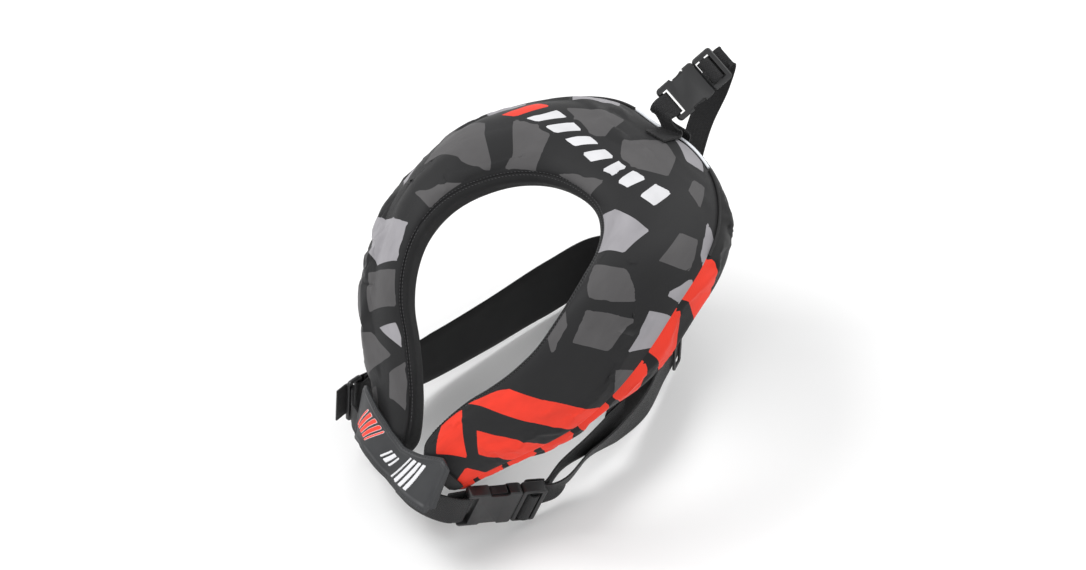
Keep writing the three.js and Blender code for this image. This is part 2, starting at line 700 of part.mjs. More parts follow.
const backStop = 6.5;
const strapFoot = (drop, out = offBand) => [
  besideBand(backStop, out).add(V(0, 0, drop)), V(-1, 0.08, 0), halfStrap];
const topThread = ladderThread(topSizes);
const onThread = ([x, z]) => onTop(x, z);
piece('back_strap', ribbon([
  strapFoot(-34), strapFoot(-10), strapFoot(14), strapFoot(34, offBand + 0.6),
  [V(8, 392, 20), V(-1, -0.05, 0), halfStrap],
  [V(12, 402, 80), V(-0.98, -0.1, 0.1), halfStrap],
  [V(17, 414, 140), V(-0.95, -0.18, 0.2), halfStrap],
  [V(23, 430, 180), V(-0.91, -0.23, 0.33), halfStrap],
  ...topThread.load.map(onThread),
  ...topThread.over.map(onThread),
  ...topThread.tail.map(onThread),
], webbingThickness, 90), finishes.webbing);

// ---------------------------------------------------------------- inflator in the right lobe
const insideLobe = (t, a, b) => collarPoint(t, a, b);
const gasFoot = insideLobe(-0.85, 0.52, 0.6);
const gasHead = insideLobe(-0.57, 0.52, 0.6);
const lobeUp = insideLobe(-0.72, 0.5, 0.9).sub(insideLobe(-0.72, 0.5, 0.2));
const gasBench = bench(gasFoot, gasHead.clone().sub(gasFoot), lobeUp);
const neckRadius = 4.6;
const bodyLength = 30;
const bodyHalf = 13;
const bodyHeight = 19;
const neckDepthIn = 12;
const pinRadius = 1.8;
const boreRadius = 3.4;
const leverLength = 23;
const leverThick = 3;
const pivotX = 4;
const lathe = (points, segments = 16) =>
  new THREE.LatheGeometry(points.map(([x, y]) => new THREE.Vector2(x, y)), segments);
// A turned piece whose axis runs along X.
const turned = (points, segments) => lathe(points, segments).rotateZ(-Math.PI / 2);

const bodyOutline = roundedRectangle(0, bodyLength, -bodyHalf, bodyHalf, 4);
let bodySolid = toSolid(plate(bodyOutline, bodyHeight, 1.5, 3));
const drill = (x0, x1, radius) => toSolid(turned(
  [[0, x0], [radius, x0], [radius, x1], [0, x1]], 16));
bodySolid = bodySolid.subtract(drill(bodyLength - neckDepthIn - 1, bodyLength + 5,
  neckRadius + clearance));
bodySolid = bodySolid.subtract(drill(pivotX + 4.6, bodyLength - neckDepthIn, boreRadius));
bodySolid = bodySolid.subtract(toSolid(block(-1, pivotX + 7, -6, bodyHalf + 1,
  -leverThick / 2 - 0.5, leverThick / 2 + 0.5)));
bodySolid = bodySolid.subtract(toSolid(new THREE.CylinderGeometry(1.6, 1.6, bodyHeight + 4, 10)
  .rotateX(Math.PI / 2).translate(pivotX, 0, 0)));
piece('inflator_body', toGeometry(bodySolid), finishes.inflator, gasBench);
piece('lever_pin', new THREE.CylinderGeometry(1.3, 1.3, bodyHeight - 0.6, 10)
  .rotateX(Math.PI / 2).translate(pivotX, 0, 0), finishes.steel, gasBench);

const leverShape = new THREE.Shape();
leverShape.absarc(0, 0, 3.4, Math.PI, 2 * Math.PI);
leverShape.lineTo(2.6, leverLength - 2.6);
leverShape.absarc(0, leverLength - 2.6, 2.6, 0, Math.PI);
leverShape.lineTo(-3.4, 0);
for (const [y, radius] of [[0, 1.6], [leverLength - 2.6, 1.3]]) {
  const hole = new THREE.Path();
  hole.absarc(0, y, radius, 0, 2 * Math.PI);
  leverShape.holes.push(hole);
}
piece('firing_lever', plate(leverShape, leverThick, 0, 4).translate(pivotX, 0, 0),
  finishes.steel, gasBench);

const pinTip = bodyLength - neckDepthIn - 0.6;
const pinStart = pivotX + 5.2;
piece('piercing_pin', turned([[0, pinStart], [pinRadius + 0.9, pinStart],
  [pinRadius + 0.9, pinStart + 1.4], [pinRadius - 0.6, pinStart + 1.8],
  [pinRadius - 0.6, pinTip - 3], [0, pinTip]], 10), finishes.steel, gasBench);
const springPoints = [];
const springTurns = 3;
for (let k = 0; k <= springTurns * 8; k += 1) {
  const angle = k * Math.PI / 4;
  springPoints.push(V(pinStart + 2.4 + 5.2 * k / (springTurns * 8), 2.1 * Math.cos(angle),
    2.1 * Math.sin(angle)));
}
piece('pin_spring', cordAlong(springPoints, 0.35, 36, 4), finishes.steel, gasBench);

const cylinderStart = bodyLength + 7;
const cylinderEnd = cylinderStart + cylinderLength;
piece('gas_cylinder', turned([[0, bodyLength - neckDepthIn + 5.5],
  [1.9, bodyLength - neckDepthIn + 5.5], [1.9, bodyLength - neckDepthIn + 0.5],
  [neckRadius, bodyLength - neckDepthIn + 0.5], [neckRadius, bodyLength + 3.4],
  [neckRadius + 2, bodyLength + 5], [cylinderRadius, cylinderStart + 4],
  [cylinderRadius, cylinderEnd - 6], [cylinderRadius - 4.5, cylinderEnd - 0.6],
  [0, cylinderEnd]], 18), finishes.steel, gasBench);
piece('cylinder_gasket', turned([[neckRadius + clearance, bodyLength + clearance],
  [neckRadius + 2.4, bodyLength + clearance], [neckRadius + 2.4, bodyLength + 2.2],
  [neckRadius + clearance, bodyLength + 2.2], [neckRadius + clearance, bodyLength + clearance]],
16), finishes.tube, gasBench);

// The threaded stem and its nut that hold the body to the bladder.
const stemX = bodyLength - 11;
const upright3 = (points, segments) => lathe(points, segments).rotateX(Math.PI / 2);
piece('manifold_nut', upright3([[0, -bodyHeight / 2 - 0.4], [8, -bodyHeight / 2 - 0.4],
  [8, -bodyHeight / 2 - 2.2], [0, -bodyHeight / 2 - 2.2]].reverse(), 6)
  .translate(stemX, 0, 0), finishes.steel, gasBench);

// The pull cord and the knob under the lobe's tip.
const leverEnd = fromBench(gasBench, pivotX - 3.2, leverLength - 2.6, 0);
const knobPlace = V(-32, 0, -20);
const pullWay = V(-0.25, -0.6, -0.76).normalize();
const knobRadius = 6.5;
const knobLength = 15;
const knobBench = bench(knobPlace, pullWay, V(0, -1, 0));
piece('pull_knob', turned([[0, 0], [3, 0], [5, 2], [knobRadius, 6], [knobRadius, knobLength - 3],
  [knobRadius - 3, knobLength], [0, knobLength]], 14), finishes.toggle, knobBench);
const cordWay = [leverEnd, insideLobe(-0.93, 0.6, 0.5), insideLobe(-0.97, 0.62, 0.5),
  insideLobe(-1, 0.64, 0.5), knobPlace.clone().addScaledVector(pullWay, -1.4)];
piece('pull_cord', cordAlong(cordWay, 1, 20, 6), finishes.toggle);

// ---------------------------------------------------------------- oral tube in the left lobe
const tubeRadius = 6;
const tubeRoot = insideLobe(0.67, 0.5, 0.47);
const rootUp = insideLobe(0.67, 0.5, 0.9).sub(insideLobe(0.67, 0.5, 0.2)).normalize();
const tubePath = [tubeRoot, tubeRoot.clone().addScaledVector(rootUp, 5),
  insideLobe(0.74, 0.44, 0.62), insideLobe(0.83, 0.42, 0.62)];
piece('oral_tube', cordAlong(tubePath, tubeRadius, 20, 10), finishes.tube);
// The flange that welds the tube to the bladder.
const flangeBench = bench(tubeRoot.clone().addScaledVector(rootUp, -clearance), rootUp,
  V(0, 1, 0));
piece('tube_flange', turned([[0, -2], [11, -2], [11, -1.2], [7.5, 0], [0, 0]], 14),
  finishes.bladder, flangeBench);
const tubeFlow = new THREE.CatmullRomCurve3(tubePath).getTangent(1);
const valveBench = bench(tubePath[3].clone().addScaledVector(tubeFlow, clearance), tubeFlow,
  lobeUp);
const valveLength = 20;
piece('oral_valve', turned([[5, 0], [8, 0], [8, 10], [7, 12], [7, valveLength],
  [4.6, valveLength], [4.6, 8], [2.6, 8], [2.6, 3], [5, 3], [5, 0]], 14), finishes.tube,
valveBench);
piece('valve_poppet', turned([[0, 4], [1.6, 4], [1.6, 11], [3.9, 11.3], [3.9, 13.4], [1.4, 13.8],
  [1.4, 16], [0, 16]], 12), finishes.whistle, valveBench);
piece('dust_cap', turned([[7 + clearance, 13], [9, 13], [9, valveLength + 3],
  [7.6, valveLength + 4.2], [0, valveLength + 4.2], [0, valveLength + 2],
  [7 + clearance, valveLength + 2], [7 + clearance, 13]], 14), finishes.tube, valveBench);
const whistleBench = bench(insideLobe(0.72, 0.76, 0.62), insideLobe(0.8, 0.76, 0.62)
  .sub(insideLobe(0.7, 0.76, 0.62)), lobeUp);
let whistleSolid = toSolid(plate(roundedRectangle(0, 42, -8, 8, 3), 10, 1));
whistleSolid = whistleSolid.subtract(toSolid(block(-1, 15, -5, 5, -2, 2)));
whistleSolid = whistleSolid.subtract(toSolid(block(10, 16, -6, 6, 0, 8)));
piece('whistle', toGeometry(whistleSolid), finishes.whistle, whistleBench);
const whistleEye = fromBench(whistleBench, 8, -9, 0);
piece('whistle_cord', cordAlong([whistleEye, whistleEye.clone().lerp(tubePath[2], 0.3)
  .addScaledVector(lobeUp, 0.06), whistleEye.clone().lerp(tubePath[2], 0.62)], 0.9, 8, 6),
finishes.toggle);

// ---------------------------------------------------------------- lobe ends
const lobeEndGap = 3.2;
function lobeEnd(side, hole) {
  const rings = [0.985, 0.9995].map((t) => Array.from({ length: 16 }, (_, k) =>
    skinPoint(side * t, 360 * k / 16, clothThickness + lobeEndGap)));
  const outline = rings[0].map((_, k) => new THREE.Vector2(Math.cos(Math.PI * k / 8),
    Math.sin(Math.PI * k / 8)));
  const closed = toSolid(loft(rings, outline));
  return toGeometry(hole ? closed.subtract(toSolid(hole)) : closed);
}
piece('lobe_end_right', lobeEnd(-1, cordAlong(cordWay, 2.4, 20, 8)), finishes.blackCloth);
piece('lobe_end_left', lobeEnd(1), finishes.blackCloth);

// ---------------------------------------------------------------- fastening pads of the patch
const padLift = padThickness + clearance + 0.6;
piece('patch_pad_left', panel(0.925, 0.98, 50, 80, 3, 3, -padLift + 1, padThickness - 1),
  finishes.blackCloth);
piece('patch_pad_right', panel(-0.965, -0.895, 40, 74, 3, 4, -padLift, padThickness),
  finishes.blackCloth);

export default jacket;
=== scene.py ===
import math
import bpy
import bmesh
from mathutils import Matrix, Vector


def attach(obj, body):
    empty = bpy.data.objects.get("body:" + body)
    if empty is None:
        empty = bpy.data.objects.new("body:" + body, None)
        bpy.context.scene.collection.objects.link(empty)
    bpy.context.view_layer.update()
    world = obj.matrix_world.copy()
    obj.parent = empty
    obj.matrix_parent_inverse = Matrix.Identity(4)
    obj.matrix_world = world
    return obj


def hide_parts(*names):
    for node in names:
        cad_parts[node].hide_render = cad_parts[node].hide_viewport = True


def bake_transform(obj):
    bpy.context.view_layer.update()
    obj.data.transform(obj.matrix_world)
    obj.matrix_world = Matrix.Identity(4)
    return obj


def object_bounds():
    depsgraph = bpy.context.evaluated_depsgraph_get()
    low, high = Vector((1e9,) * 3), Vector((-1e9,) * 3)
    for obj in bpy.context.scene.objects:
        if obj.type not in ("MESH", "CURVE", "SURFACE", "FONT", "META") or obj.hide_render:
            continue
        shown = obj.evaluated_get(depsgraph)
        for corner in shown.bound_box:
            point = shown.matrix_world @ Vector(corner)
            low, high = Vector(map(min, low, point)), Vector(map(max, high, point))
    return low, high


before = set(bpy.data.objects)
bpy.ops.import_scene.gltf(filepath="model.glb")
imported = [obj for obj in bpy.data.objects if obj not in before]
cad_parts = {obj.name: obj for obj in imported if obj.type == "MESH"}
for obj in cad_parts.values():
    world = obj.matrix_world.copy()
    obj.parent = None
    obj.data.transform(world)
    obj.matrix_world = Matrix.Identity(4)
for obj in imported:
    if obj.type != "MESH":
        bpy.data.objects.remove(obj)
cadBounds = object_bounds()
root = "jacket"
millimetre = 0.001

# Everything on the jacket is laid out in millimetres from the point where the front lobes meet.
lobesMeet = Vector((0, -125, -120))


def row(point):
    return (point + lobesMeet) * millimetre


def lerp(a, b, share):
    return a + (b - a) * share


def smooth(value, low, high):
    share = min(max((value - low) / (high - low), 0), 1)
    return share * share * (3 - 2 * share)


def deselectAll():
    for obj in bpy.context.selected_objects:
        obj.select_set(False)


def makeActive(obj):
    deselectAll()
    obj.select_set(True)
    bpy.context.view_layer.objects.active = obj


def applyModifiers(obj):
    makeActive(obj)
    for modifier in list(obj.modifiers):
        bpy.ops.object.modifier_apply(modifier=modifier.name)


def newObject(name, data):
    obj = bpy.data.objects.new(name, data)
    bpy.context.collection.objects.link(obj)
    return obj


def smoothByAngle(obj, degrees):
    makeActive(obj)
    bpy.ops.object.shade_smooth_by_angle(angle=math.radians(degrees))


# The camera looks from "towards" at its target, in metres.
viewValues = {
    "target": (-0.0017, 0.0736, -0.0516),
    "towards": (0.455, -0.5416, 0.7071),
    "distance": 3.0,
    "lens": 104.7,
    "floorDrop": 0.004,
    "floorColour": (0.9, 0.9, 0.9),
    "floorSize": 8,
    "floorRoughness": 0.8,
    "worldStrength": 0.8,
    # Each light's place, size and power.
    "lights": {
        "key": ((-0.9, -0.5, 1.5), 0.9, 20),
        "fill": ((1.5, -1.0, 0.8), 1.2, 7),
        "rim": ((0.3, 1.6, 1.2), 0.8, 10),
    },
}


def addCamera(values):
    data = bpy.data.cameras.new("camera")
    data.lens = values["lens"]
    camera = newObject("camera", data)
    towards = Vector(values["towards"]).normalized()
    camera.location = Vector(values["target"]) + towards * values["distance"]
    camera.rotation_euler = towards.to_track_quat("Z", "Y").to_euler()
    bpy.context.scene.camera = camera


def addLight(name, place, size, power, target):
    data = bpy.data.lights.new(name, "AREA")
    data.size = size
    data.energy = power
    light = newObject(name, data)
    light.location = place
    light.rotation_euler = (Vector(place) - Vector(target)).to_track_quat("Z", "Y").to_euler()


def addStage(values):
    low = cadBounds[0][2] - values["floorDrop"]
    deselectAll()
    bpy.ops.mesh.primitive_plane_add(size=values["floorSize"], location=(0, 0, low))
    floor = bpy.context.object
    floor.name = "floor"
    material = bpy.data.materials.new("pale floor")
    material.use_nodes = True
    shader = material.node_tree.nodes["Principled BSDF"]
    shader.inputs["Base Color"].default_value = (*values["floorColour"], 1)
    shader.inputs["Roughness"].default_value = values["floorRoughness"]
    floor.data.materials.append(material)
    world = bpy.data.worlds.new("studio")
    world.use_nodes = True
    background = world.node_tree.nodes["Background"]
    background.inputs["Color"].default_value = (1, 1, 1, 1)
    background.inputs["Strength"].default_value = values["worldStrength"]
    bpy.context.scene.world = world
    for name, (place, size, power) in values["lights"].items():
        addLight(name, place, size, power, values["target"])


bpy.context.scene.view_settings.view_transform = "Standard"
addCamera(viewValues)
addStage(viewValues)
print("camera, floor and lights set")


# A node group with its sockets: inputs as (name, type, default), outputs as (name, type).
def newGroup(name, inputs, outputs):
    group = bpy.data.node_groups.new(name, "ShaderNodeTree")
    for socketName, kind, value in inputs:
        socket = group.interface.new_socket(socketName, in_out="INPUT", socket_type=kind)
        if value is not None:
            socket.default_value = value
    for socketName, kind in outputs:
        group.interface.new_socket(socketName, in_out="OUTPUT", socket_type=kind)
    entry = group.nodes.new("NodeGroupInput")
    leave = group.nodes.new("NodeGroupOutput")
    return group, entry, leave


# Gives a socket a colour, a number or a link.
def feed(tree, socket, value):
    if isinstance(value, tuple):
        socket.default_value = (*value, 1)
    elif isinstance(value, (int, float)):
        socket.default_value = value
    else:
        tree.links.new(value, socket)


def mathNode(tree, operation, *values):
    node = tree.nodes.new("ShaderNodeMath")
    node.operation = operation
    for socket, value in zip(node.inputs, values):
        feed(tree, socket, value)
    return node.outputs[0]


def mixColours(tree, factor, first, second):
    node = tree.nodes.new("ShaderNodeMix")
    node.data_type = "RGBA"
    feed(tree, node.inputs["Factor"], factor)
    feed(tree, node.inputs[6], first)
    feed(tree, node.inputs[7], second)
    return node.outputs[2]


# The second colour where a value is above a limit, and the first elsewhere.
def switchColour(tree, value, limit, first, second):
    return mixColours(tree, mathNode(tree, "GREATER_THAN", value, limit), first, second)


def noiseOn(tree, vector, scale):
    node = tree.nodes.new("ShaderNodeTexNoise")
    node.inputs["Detail"].default_value = 2.0
    feed(tree, node.inputs["Scale"], scale)
    feed(tree, node.inputs["Vector"], vector)
    return node.outputs["Fac"]


# Crossing threads: a height that goes over and under, and a shade that follows it.
def buildWeave():
    group, entry, leave = newGroup("crossed threads", [
        ("UV", "NodeSocketVector", None),
        ("Threads", "NodeSocketFloat", 1500.0),
        ("Slack", "NodeSocketFloat", 0.3),
    ], [("Height", "NodeSocketFloat"), ("Shade", "NodeSocketFloat")])
    split = group.nodes.new("ShaderNodeSeparateXYZ")
    group.links.new(entry.outputs["UV"], split.inputs[0])
    waves = []
    for axis in ("X", "Y"):
        turned = mathNode(group, "MULTIPLY", split.outputs[axis], entry.outputs["Threads"])
        wave = mathNode(group, "SINE", mathNode(group, "MULTIPLY", turned, math.pi))
        waves.append(wave)
    over = mathNode(group, "MULTIPLY", waves[0], waves[1])
    fold = noiseOn(group, entry.outputs["UV"], 34.0)
    creased = mathNode(group, "MULTIPLY", fold, entry.outputs["Slack"])
    height = mathNode(group, "ADD", mathNode(group, "MULTIPLY", over, 0.16), creased)
    shade = mathNode(group, "ADD", mathNode(group, "MULTIPLY", over, 0.12), fold)
    group.links.new(height, leave.inputs["Height"])
    group.links.new(shade, leave.inputs["Shade"])
    return group


# Fine pits of a moulding, with a slow change of gloss.
def buildGrain():
    group, entry, leave = newGroup("moulded grain", [
        ("Vector", "NodeSocketVector", None),
        ("Scale", "NodeSocketFloat", 1800.0),
        ("Spread", "NodeSocketFloat", 0.2),
        ("Roughness", "NodeSocketFloat", 0.45),
    ], [("Height", "NodeSocketFloat"), ("Gloss", "NodeSocketFloat")])
    fine = noiseOn(group, entry.outputs["Vector"], entry.outputs["Scale"])
    slow = noiseOn(group, entry.outputs["Vector"], 60.0)
    spread = mathNode(group, "MULTIPLY", mathNode(group, "SUBTRACT", slow, 0.5),
                      entry.outputs["Spread"])
    gloss = mathNode(group, "ADD", spread, entry.outputs["Roughness"])
    group.links.new(fine, leave.inputs["Height"])
    group.links.new(gloss, leave.inputs["Gloss"])
    return group


weaveGroup = buildWeave()
grainGroup = buildGrain()


def startMaterial(name):
    material = bpy.data.materials.new(name)
    material.use_nodes = True
    tree = material.node_tree
    return material, tree, tree.nodes["Principled BSDF"]


def setInputs(node, values):
    for name, value in values.items():
        node.inputs[name].default_value = value


def addBump(tree, shader, height, strength, distance):
    bump = tree.nodes.new("ShaderNodeBump")
    setInputs(bump, {"Strength": strength, "Distance": distance})
    tree.links.new(height, bump.inputs["Height"])
    tree.links.new(bump.outputs[0], shader.inputs["Normal"])


def placeGroup(tree, group, vector, values):
    node = tree.nodes.new("ShaderNodeGroup")
    node.node_tree = group
    tree.links.new(vector, node.inputs[0])
    setInputs(node, values)
    return node


def uvOf(tree):
    node = tree.nodes.new("ShaderNodeUVMap")
    node.uv_map = "cloth"
    return node.outputs[0]


def objectPlace(tree):
    return tree.nodes.new("ShaderNodeTexCoord").outputs["Object"]


def attributeOf(tree, name):
    node = tree.nodes.new("ShaderNodeAttribute")
    node.attribute_name = name
    return node.outputs["Fac"]


clothValues = {
    "charcoal": (0.011, 0.011, 0.012),
    "midGrey": (0.088, 0.085, 0.087),
    "lightGrey": (0.34, 0.33, 0.35),
    "red": (0.88, 0.042, 0.018),
    "white": (0.72, 0.72, 0.74),
    "black": (0.006, 0.006, 0.0065),
    "threads": 1250.0,
    "slack": 0.8,
    "shade": 0.35,
    "specular": 0.28,
    "roughness": 0.62,
    "sheen": 0.05,
    "bump": 0.35,
    "bumpDepth": 0.0006,
}


# Tones: 1 mid grey, 2 light grey, 3 red, 4 white, all on the ground colour.
def printedMaterial(name, ground, values=clothValues):
    material, tree, shader = startMaterial(name)
    uv = uvOf(tree)
    weave = placeGroup(tree, weaveGroup, uv, {"Threads": values["threads"],
                                             "Slack": values["slack"]})
    tone = attributeOf(tree, "shardTone")
    colour = switchColour(tree, tone, 1.5, values["midGrey"], values["lightGrey"])
    colour = switchColour(tree, tone, 2.5, colour, values["red"])
    colour = switchColour(tree, attributeOf(tree, "shardEdge"), 0.0, ground, colour)
    bars = switchColour(tree, attributeOf(tree, "barTone"), 3.5, values["red"], values["white"])
    colour = switchColour(tree, attributeOf(tree, "barEdge"), 0.0, colour, bars)
    shade = mathNode(tree, "MULTIPLY", weave.outputs["Shade"], values["shade"])
    dark = mixColours(tree, shade, colour, (0.0, 0.0, 0.0))
    tree.links.new(dark, shader.inputs["Base Color"])
    setInputs(shader, {"Roughness": values["roughness"], "Sheen Weight": values["sheen"],
                       "Specular IOR Level": values["specular"]})
    addBump(tree, shader, weave.outputs["Height"], values["bump"], values["bumpDepth"])
    return material


def wovenMaterial(name, colour, threads, slack, roughness, sheen=0.04, depth=0.0005):
    material, tree, shader = startMaterial(name)
    weave = placeGroup(tree, weaveGroup, uvOf(tree), {"Threads": threads, "Slack": slack})
    paler = tuple(min(1.0, channel * 1.7 + 0.004) for channel in colour)
    mixed = mixColours(tree, weave.outputs["Shade"], colour, paler)
    tree.links.new(mixed, shader.inputs["Base Color"])
    setInputs(shader, {"Roughness": roughness, "Sheen Weight": sheen, "Specular IOR Level": 0.3})
    addBump(tree, shader, weave.outputs["Height"], 0.5, depth)
    return material


def mouldedMaterial(name, colour, roughness, scale=1800.0, spread=0.2, depth=0.00008,
                    coat=0.0, metallic=0.0, marked=False):
    material, tree, shader = startMaterial(name)
    place = objectPlace(tree)
    grain = placeGroup(tree, grainGroup, place,
                       {"Scale": scale, "Spread": spread, "Roughness": roughness})
    paler = tuple(min(1.0, channel * 1.35 + 0.003) for channel in colour)
    mixed = mixColours(tree, noiseOn(tree, place, 90.0), colour, paler)
    if marked:
        tone = attributeOf(tree, "shardTone")
        mixed = switchColour(tree, tone, 0.5, mixed, clothValues["white"])
        mixed = switchColour(tree, tone, 1.5, mixed, clothValues["red"])
    tree.links.new(mixed, shader.inputs["Base Color"])
    tree.links.new(grain.outputs["Gloss"], shader.inputs["Roughness"])
    setInputs(shader, {"Metallic": metallic, "Coat Weight": coat})
    addBump(tree, shader, grain.outputs["Height"], 0.5, depth)
    return material


# Webbing: close ribs across its length, bent into chevrons across its width.
def webbingMaterial(name, colour, ribs, roughness):
    material, tree, shader = startMaterial(name)
    split = tree.nodes.new("ShaderNodeSeparateXYZ")
    uv = uvOf(tree)
    tree.links.new(uv, split.inputs[0])
    turned = mathNode(tree, "MULTIPLY", split.outputs["X"], ribs * math.pi * 2)
    slant = mathNode(tree, "PINGPONG", split.outputs["Y"], 0.0018)
    chevron = mathNode(tree, "MULTIPLY", slant, 3200.0)
    rib = mathNode(tree, "SINE", mathNode(tree, "ADD", turned, chevron))
    fuzz = noiseOn(tree, uv, 900.0)
    height = mathNode(tree, "ADD", rib, mathNode(tree, "MULTIPLY", fuzz, 0.6))
    # Each rib's crest is painted paler than its trough: a painted highlight that follows the ribs.
    paler = tuple(channel * 2.2 + 0.006 for channel in colour)
    share = mathNode(tree, "MULTIPLY", mathNode(tree, "ADD", rib, 1.0), 0.5)
    mixed = mixColours(tree, share, colour, paler)
    tree.links.new(mixed, shader.inputs["Base Color"])
    setInputs(shader, {"Roughness": roughness, "Sheen Weight": 0.05, "Specular IOR Level": 0.3})
    addBump(tree, shader, height, 0.6, 0.00035)
    return material


def makeMaterials():
    values = clothValues
    return {
        "printed_cloth": printedMaterial("printed cloth", values["charcoal"]),
        "side_cloth": printedMaterial("side cloth", values["black"]),
        "black_cloth": wovenMaterial("black cloth", values["black"], values["threads"],
                                     values["slack"], 0.72),
        "reflective_tape": mouldedMaterial("reflective piping", (0.62, 0.64, 0.67), 0.34, 2600.0,
                                           depth=0.00015),
        "bladder_fabric": mouldedMaterial("bladder cloth", (0.85, 0.55, 0.04), 0.5, 700.0,
                                          depth=0.0004),
        "webbing": webbingMaterial("webbing", (0.006, 0.006, 0.0065), 560.0, 0.66),
        "buckle_plastic": mouldedMaterial("buckle plastic", (0.011, 0.0112, 0.012), 0.4, 1500.0),
        "patch_rubber": mouldedMaterial("patch rubber", (0.02, 0.021, 0.023), 0.5, 1300.0,
                                        depth=0.00016, marked=True),
        "inflator_plastic": mouldedMaterial("inflator plastic", (0.03, 0.03, 0.034), 0.5),
        "steel": mouldedMaterial("zinc plated steel", (0.55, 0.56, 0.57), 0.34, 900.0,
                                 metallic=1.0),
        "seal_rubber": mouldedMaterial("seal rubber", (0.02, 0.02, 0.021), 0.62),
        "toggle_plastic": mouldedMaterial("toggle plastic", (0.014, 0.014, 0.015), 0.26,
                                          spread=0.1, coat=0.4),
        "cord": mouldedMaterial("braided cord", (0.018, 0.018, 0.019), 0.75, 1100.0,
                                depth=0.0003),
        "whistle_plastic": mouldedMaterial("whistle plastic", (0.84, 0.2, 0.025), 0.3, coat=0.3),
        "plain_cloth": mouldedMaterial("plain cloth", values["black"], 0.75, 1400.0, depth=0.0003),
        "thread": mouldedMaterial("sewing thread", (0.05, 0.05, 0.053), 0.6, 2400.0),
    }


materials = makeMaterials()
print("materials made")


# A body is a name that the piece is attached to; cloth that crosses a joint gives the other body
# and where it takes over, and is only baked in place, unattached.
def finishPiece(obj, body, slotName, *nodes, material=None):
    obj.data.materials.clear()
    obj.data.materials.append(materials[material or slotName])
    if isinstance(body, str):
        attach(obj, body)
    else:
        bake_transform(obj)
    if nodes:
        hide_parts(*nodes)


# The collar's form, in millimetres.
collar = {
    "rimThickness": 42,
    "edgeThickness": 42,
    "napeCrown": 24,
    "lobeCrown": 10,
    "tipStart": 0.93,
    "clothThickness": 2,
    "roundness": 0.55,
    # Matching places on the neck rim and on the outer edge, from the nape to the left tip.
    "stations": [
        (0, 233, 171, 0, 374, 159), (30, 228, 170, 42, 373, 158), (54, 208, 171, 84, 355, 153),
        (70, 180, 171, 121, 315, 150), (79, 150, 169, 144, 266, 147), (83, 126, 161, 155, 209, 136),
        (83, 106, 148, 158, 160, 112), (78, 87, 127, 153, 119, 83), (66, 70, 104, 141, 90, 58),
        (50, 58, 81, 120, 66, 35), (33, 43, 61, 98, 47, 15), (19, 29, 40, 77, 31, -4),
        (9, 13, 17, 60, 16, -21), (8, 1, -4, 49, 5, -34),
    ],
}


# A smooth curve through points, its speed set by the root of the distance between them.
def curvePoint(points, share):
    last = len(points) - 1
    place = min(max(share, 0), 1) * last
    k = min(int(place), last - 1)
    w = place - k
    p1, p2 = points[k], points[k + 1]
    p0 = points[k - 1] if k > 0 else p1 * 2 - p2
    p3 = points[k + 2] if k + 2 <= last else p2 * 2 - p1
    d0, d1, d2 = (max((a - b).length ** 0.5, 1e-4) for a, b in ((p0, p1), (p1, p2), (p2, p3)))
    if (p0 - p1).length < 1e-4:
        d0 = d1
    if (p2 - p3).length < 1e-4:
        d2 = d1
    m1 = ((p1 - p0) / d0 - (p2 - p0) / (d0 + d1) + (p2 - p1) / d1) * d1
    m2 = ((p2 - p1) / d1 - (p3 - p1) / (d1 + d2) + (p3 - p2) / d2) * d1
    return (p1 + m1 * w + (p2 * 3 - p1 * 3 - m1 * 2 - m2) * w * w
            + (p1 * 2 - p2 * 2 + m1 + m2) * w * w * w)


def bothSides(stations, first):
    left = [Vector(station[first:first + 3]) for station in stations]
    right = [Vector((-point.x, point.y, point.z)) for point in reversed(left[1:])]
    return right + left


rimWay = bothSides(collar["stations"], 0)
edgeWay = bothSides(collar["stations"], 3)
rimDown = Vector((0, 0.6, -0.8))


def edgeDown(t):
    side = smooth(abs(t), 0.05, 0.35)
    tuck = smooth(abs(t), 0.42, 0.62)
    out = lerp(0.2 * side, -0.38, tuck) * (1 if t >= 0 else -1)
    return Vector((out, lerp(0.08 + 0.36 * side, 0.8, tuck), lerp(-0.95, -0.52, tuck))).normalized()


# A sine or cosine pushed towards its ends, which fills out the corners of a section.
def pushedOut(turned):
    return math.copysign(abs(turned) ** collar["roundness"], turned)


# One section of the collar: a runs from the neck rim to the outer edge, b from back to front.
class Section:
    def __init__(self, t):
        self.rim = curvePoint(rimWay, (t + 1) / 2)
        self.edge = curvePoint(edgeWay, (t + 1) / 2)
        thin = 1 - 0.18 * max(0, abs(t) - 0.4) / 0.6
        self.rimFall = rimDown * collar["rimThickness"] * thin
        self.edgeFall = edgeDown(t) * collar["edgeThickness"] * thin
        self.crown = lerp(collar["napeCrown"], collar["lobeCrown"], smooth(abs(t), 0.2, 0.55))
        past = max(0, abs(t) - collar["tipStart"]) / (1 - collar["tipStart"])
        self.taper = math.sqrt(1 - 0.8 * past * past)
        self.across = (self.at(0, 0.5) - self.at(1, 0.5)).length
        self.up = (self.at(0.5, 0) - self.at(0.5, 1)).length

    def at(self, a, b):
        fall = self.rimFall * (1 - a) * (1 - b) + self.edgeFall * a * (1 - b)
        rise = rimDown * (-self.crown * 4 * a * (1 - a) * b * b)
        return self.rim.lerp(self.edge, a) + fall + rise

    def skin(self, degrees, inset):
        angle = math.radians(degrees)
        a = 0.5 + pushedOut(math.cos(angle)) * (0.5 * self.taper - inset / self.across)
        b = 0.5 + pushedOut(math.sin(angle)) * (0.5 * self.taper - inset / self.up)
        return self.at(a, b)


def skinPoint(t, degrees, inset):
    return Section(t).skin(degrees, inset)


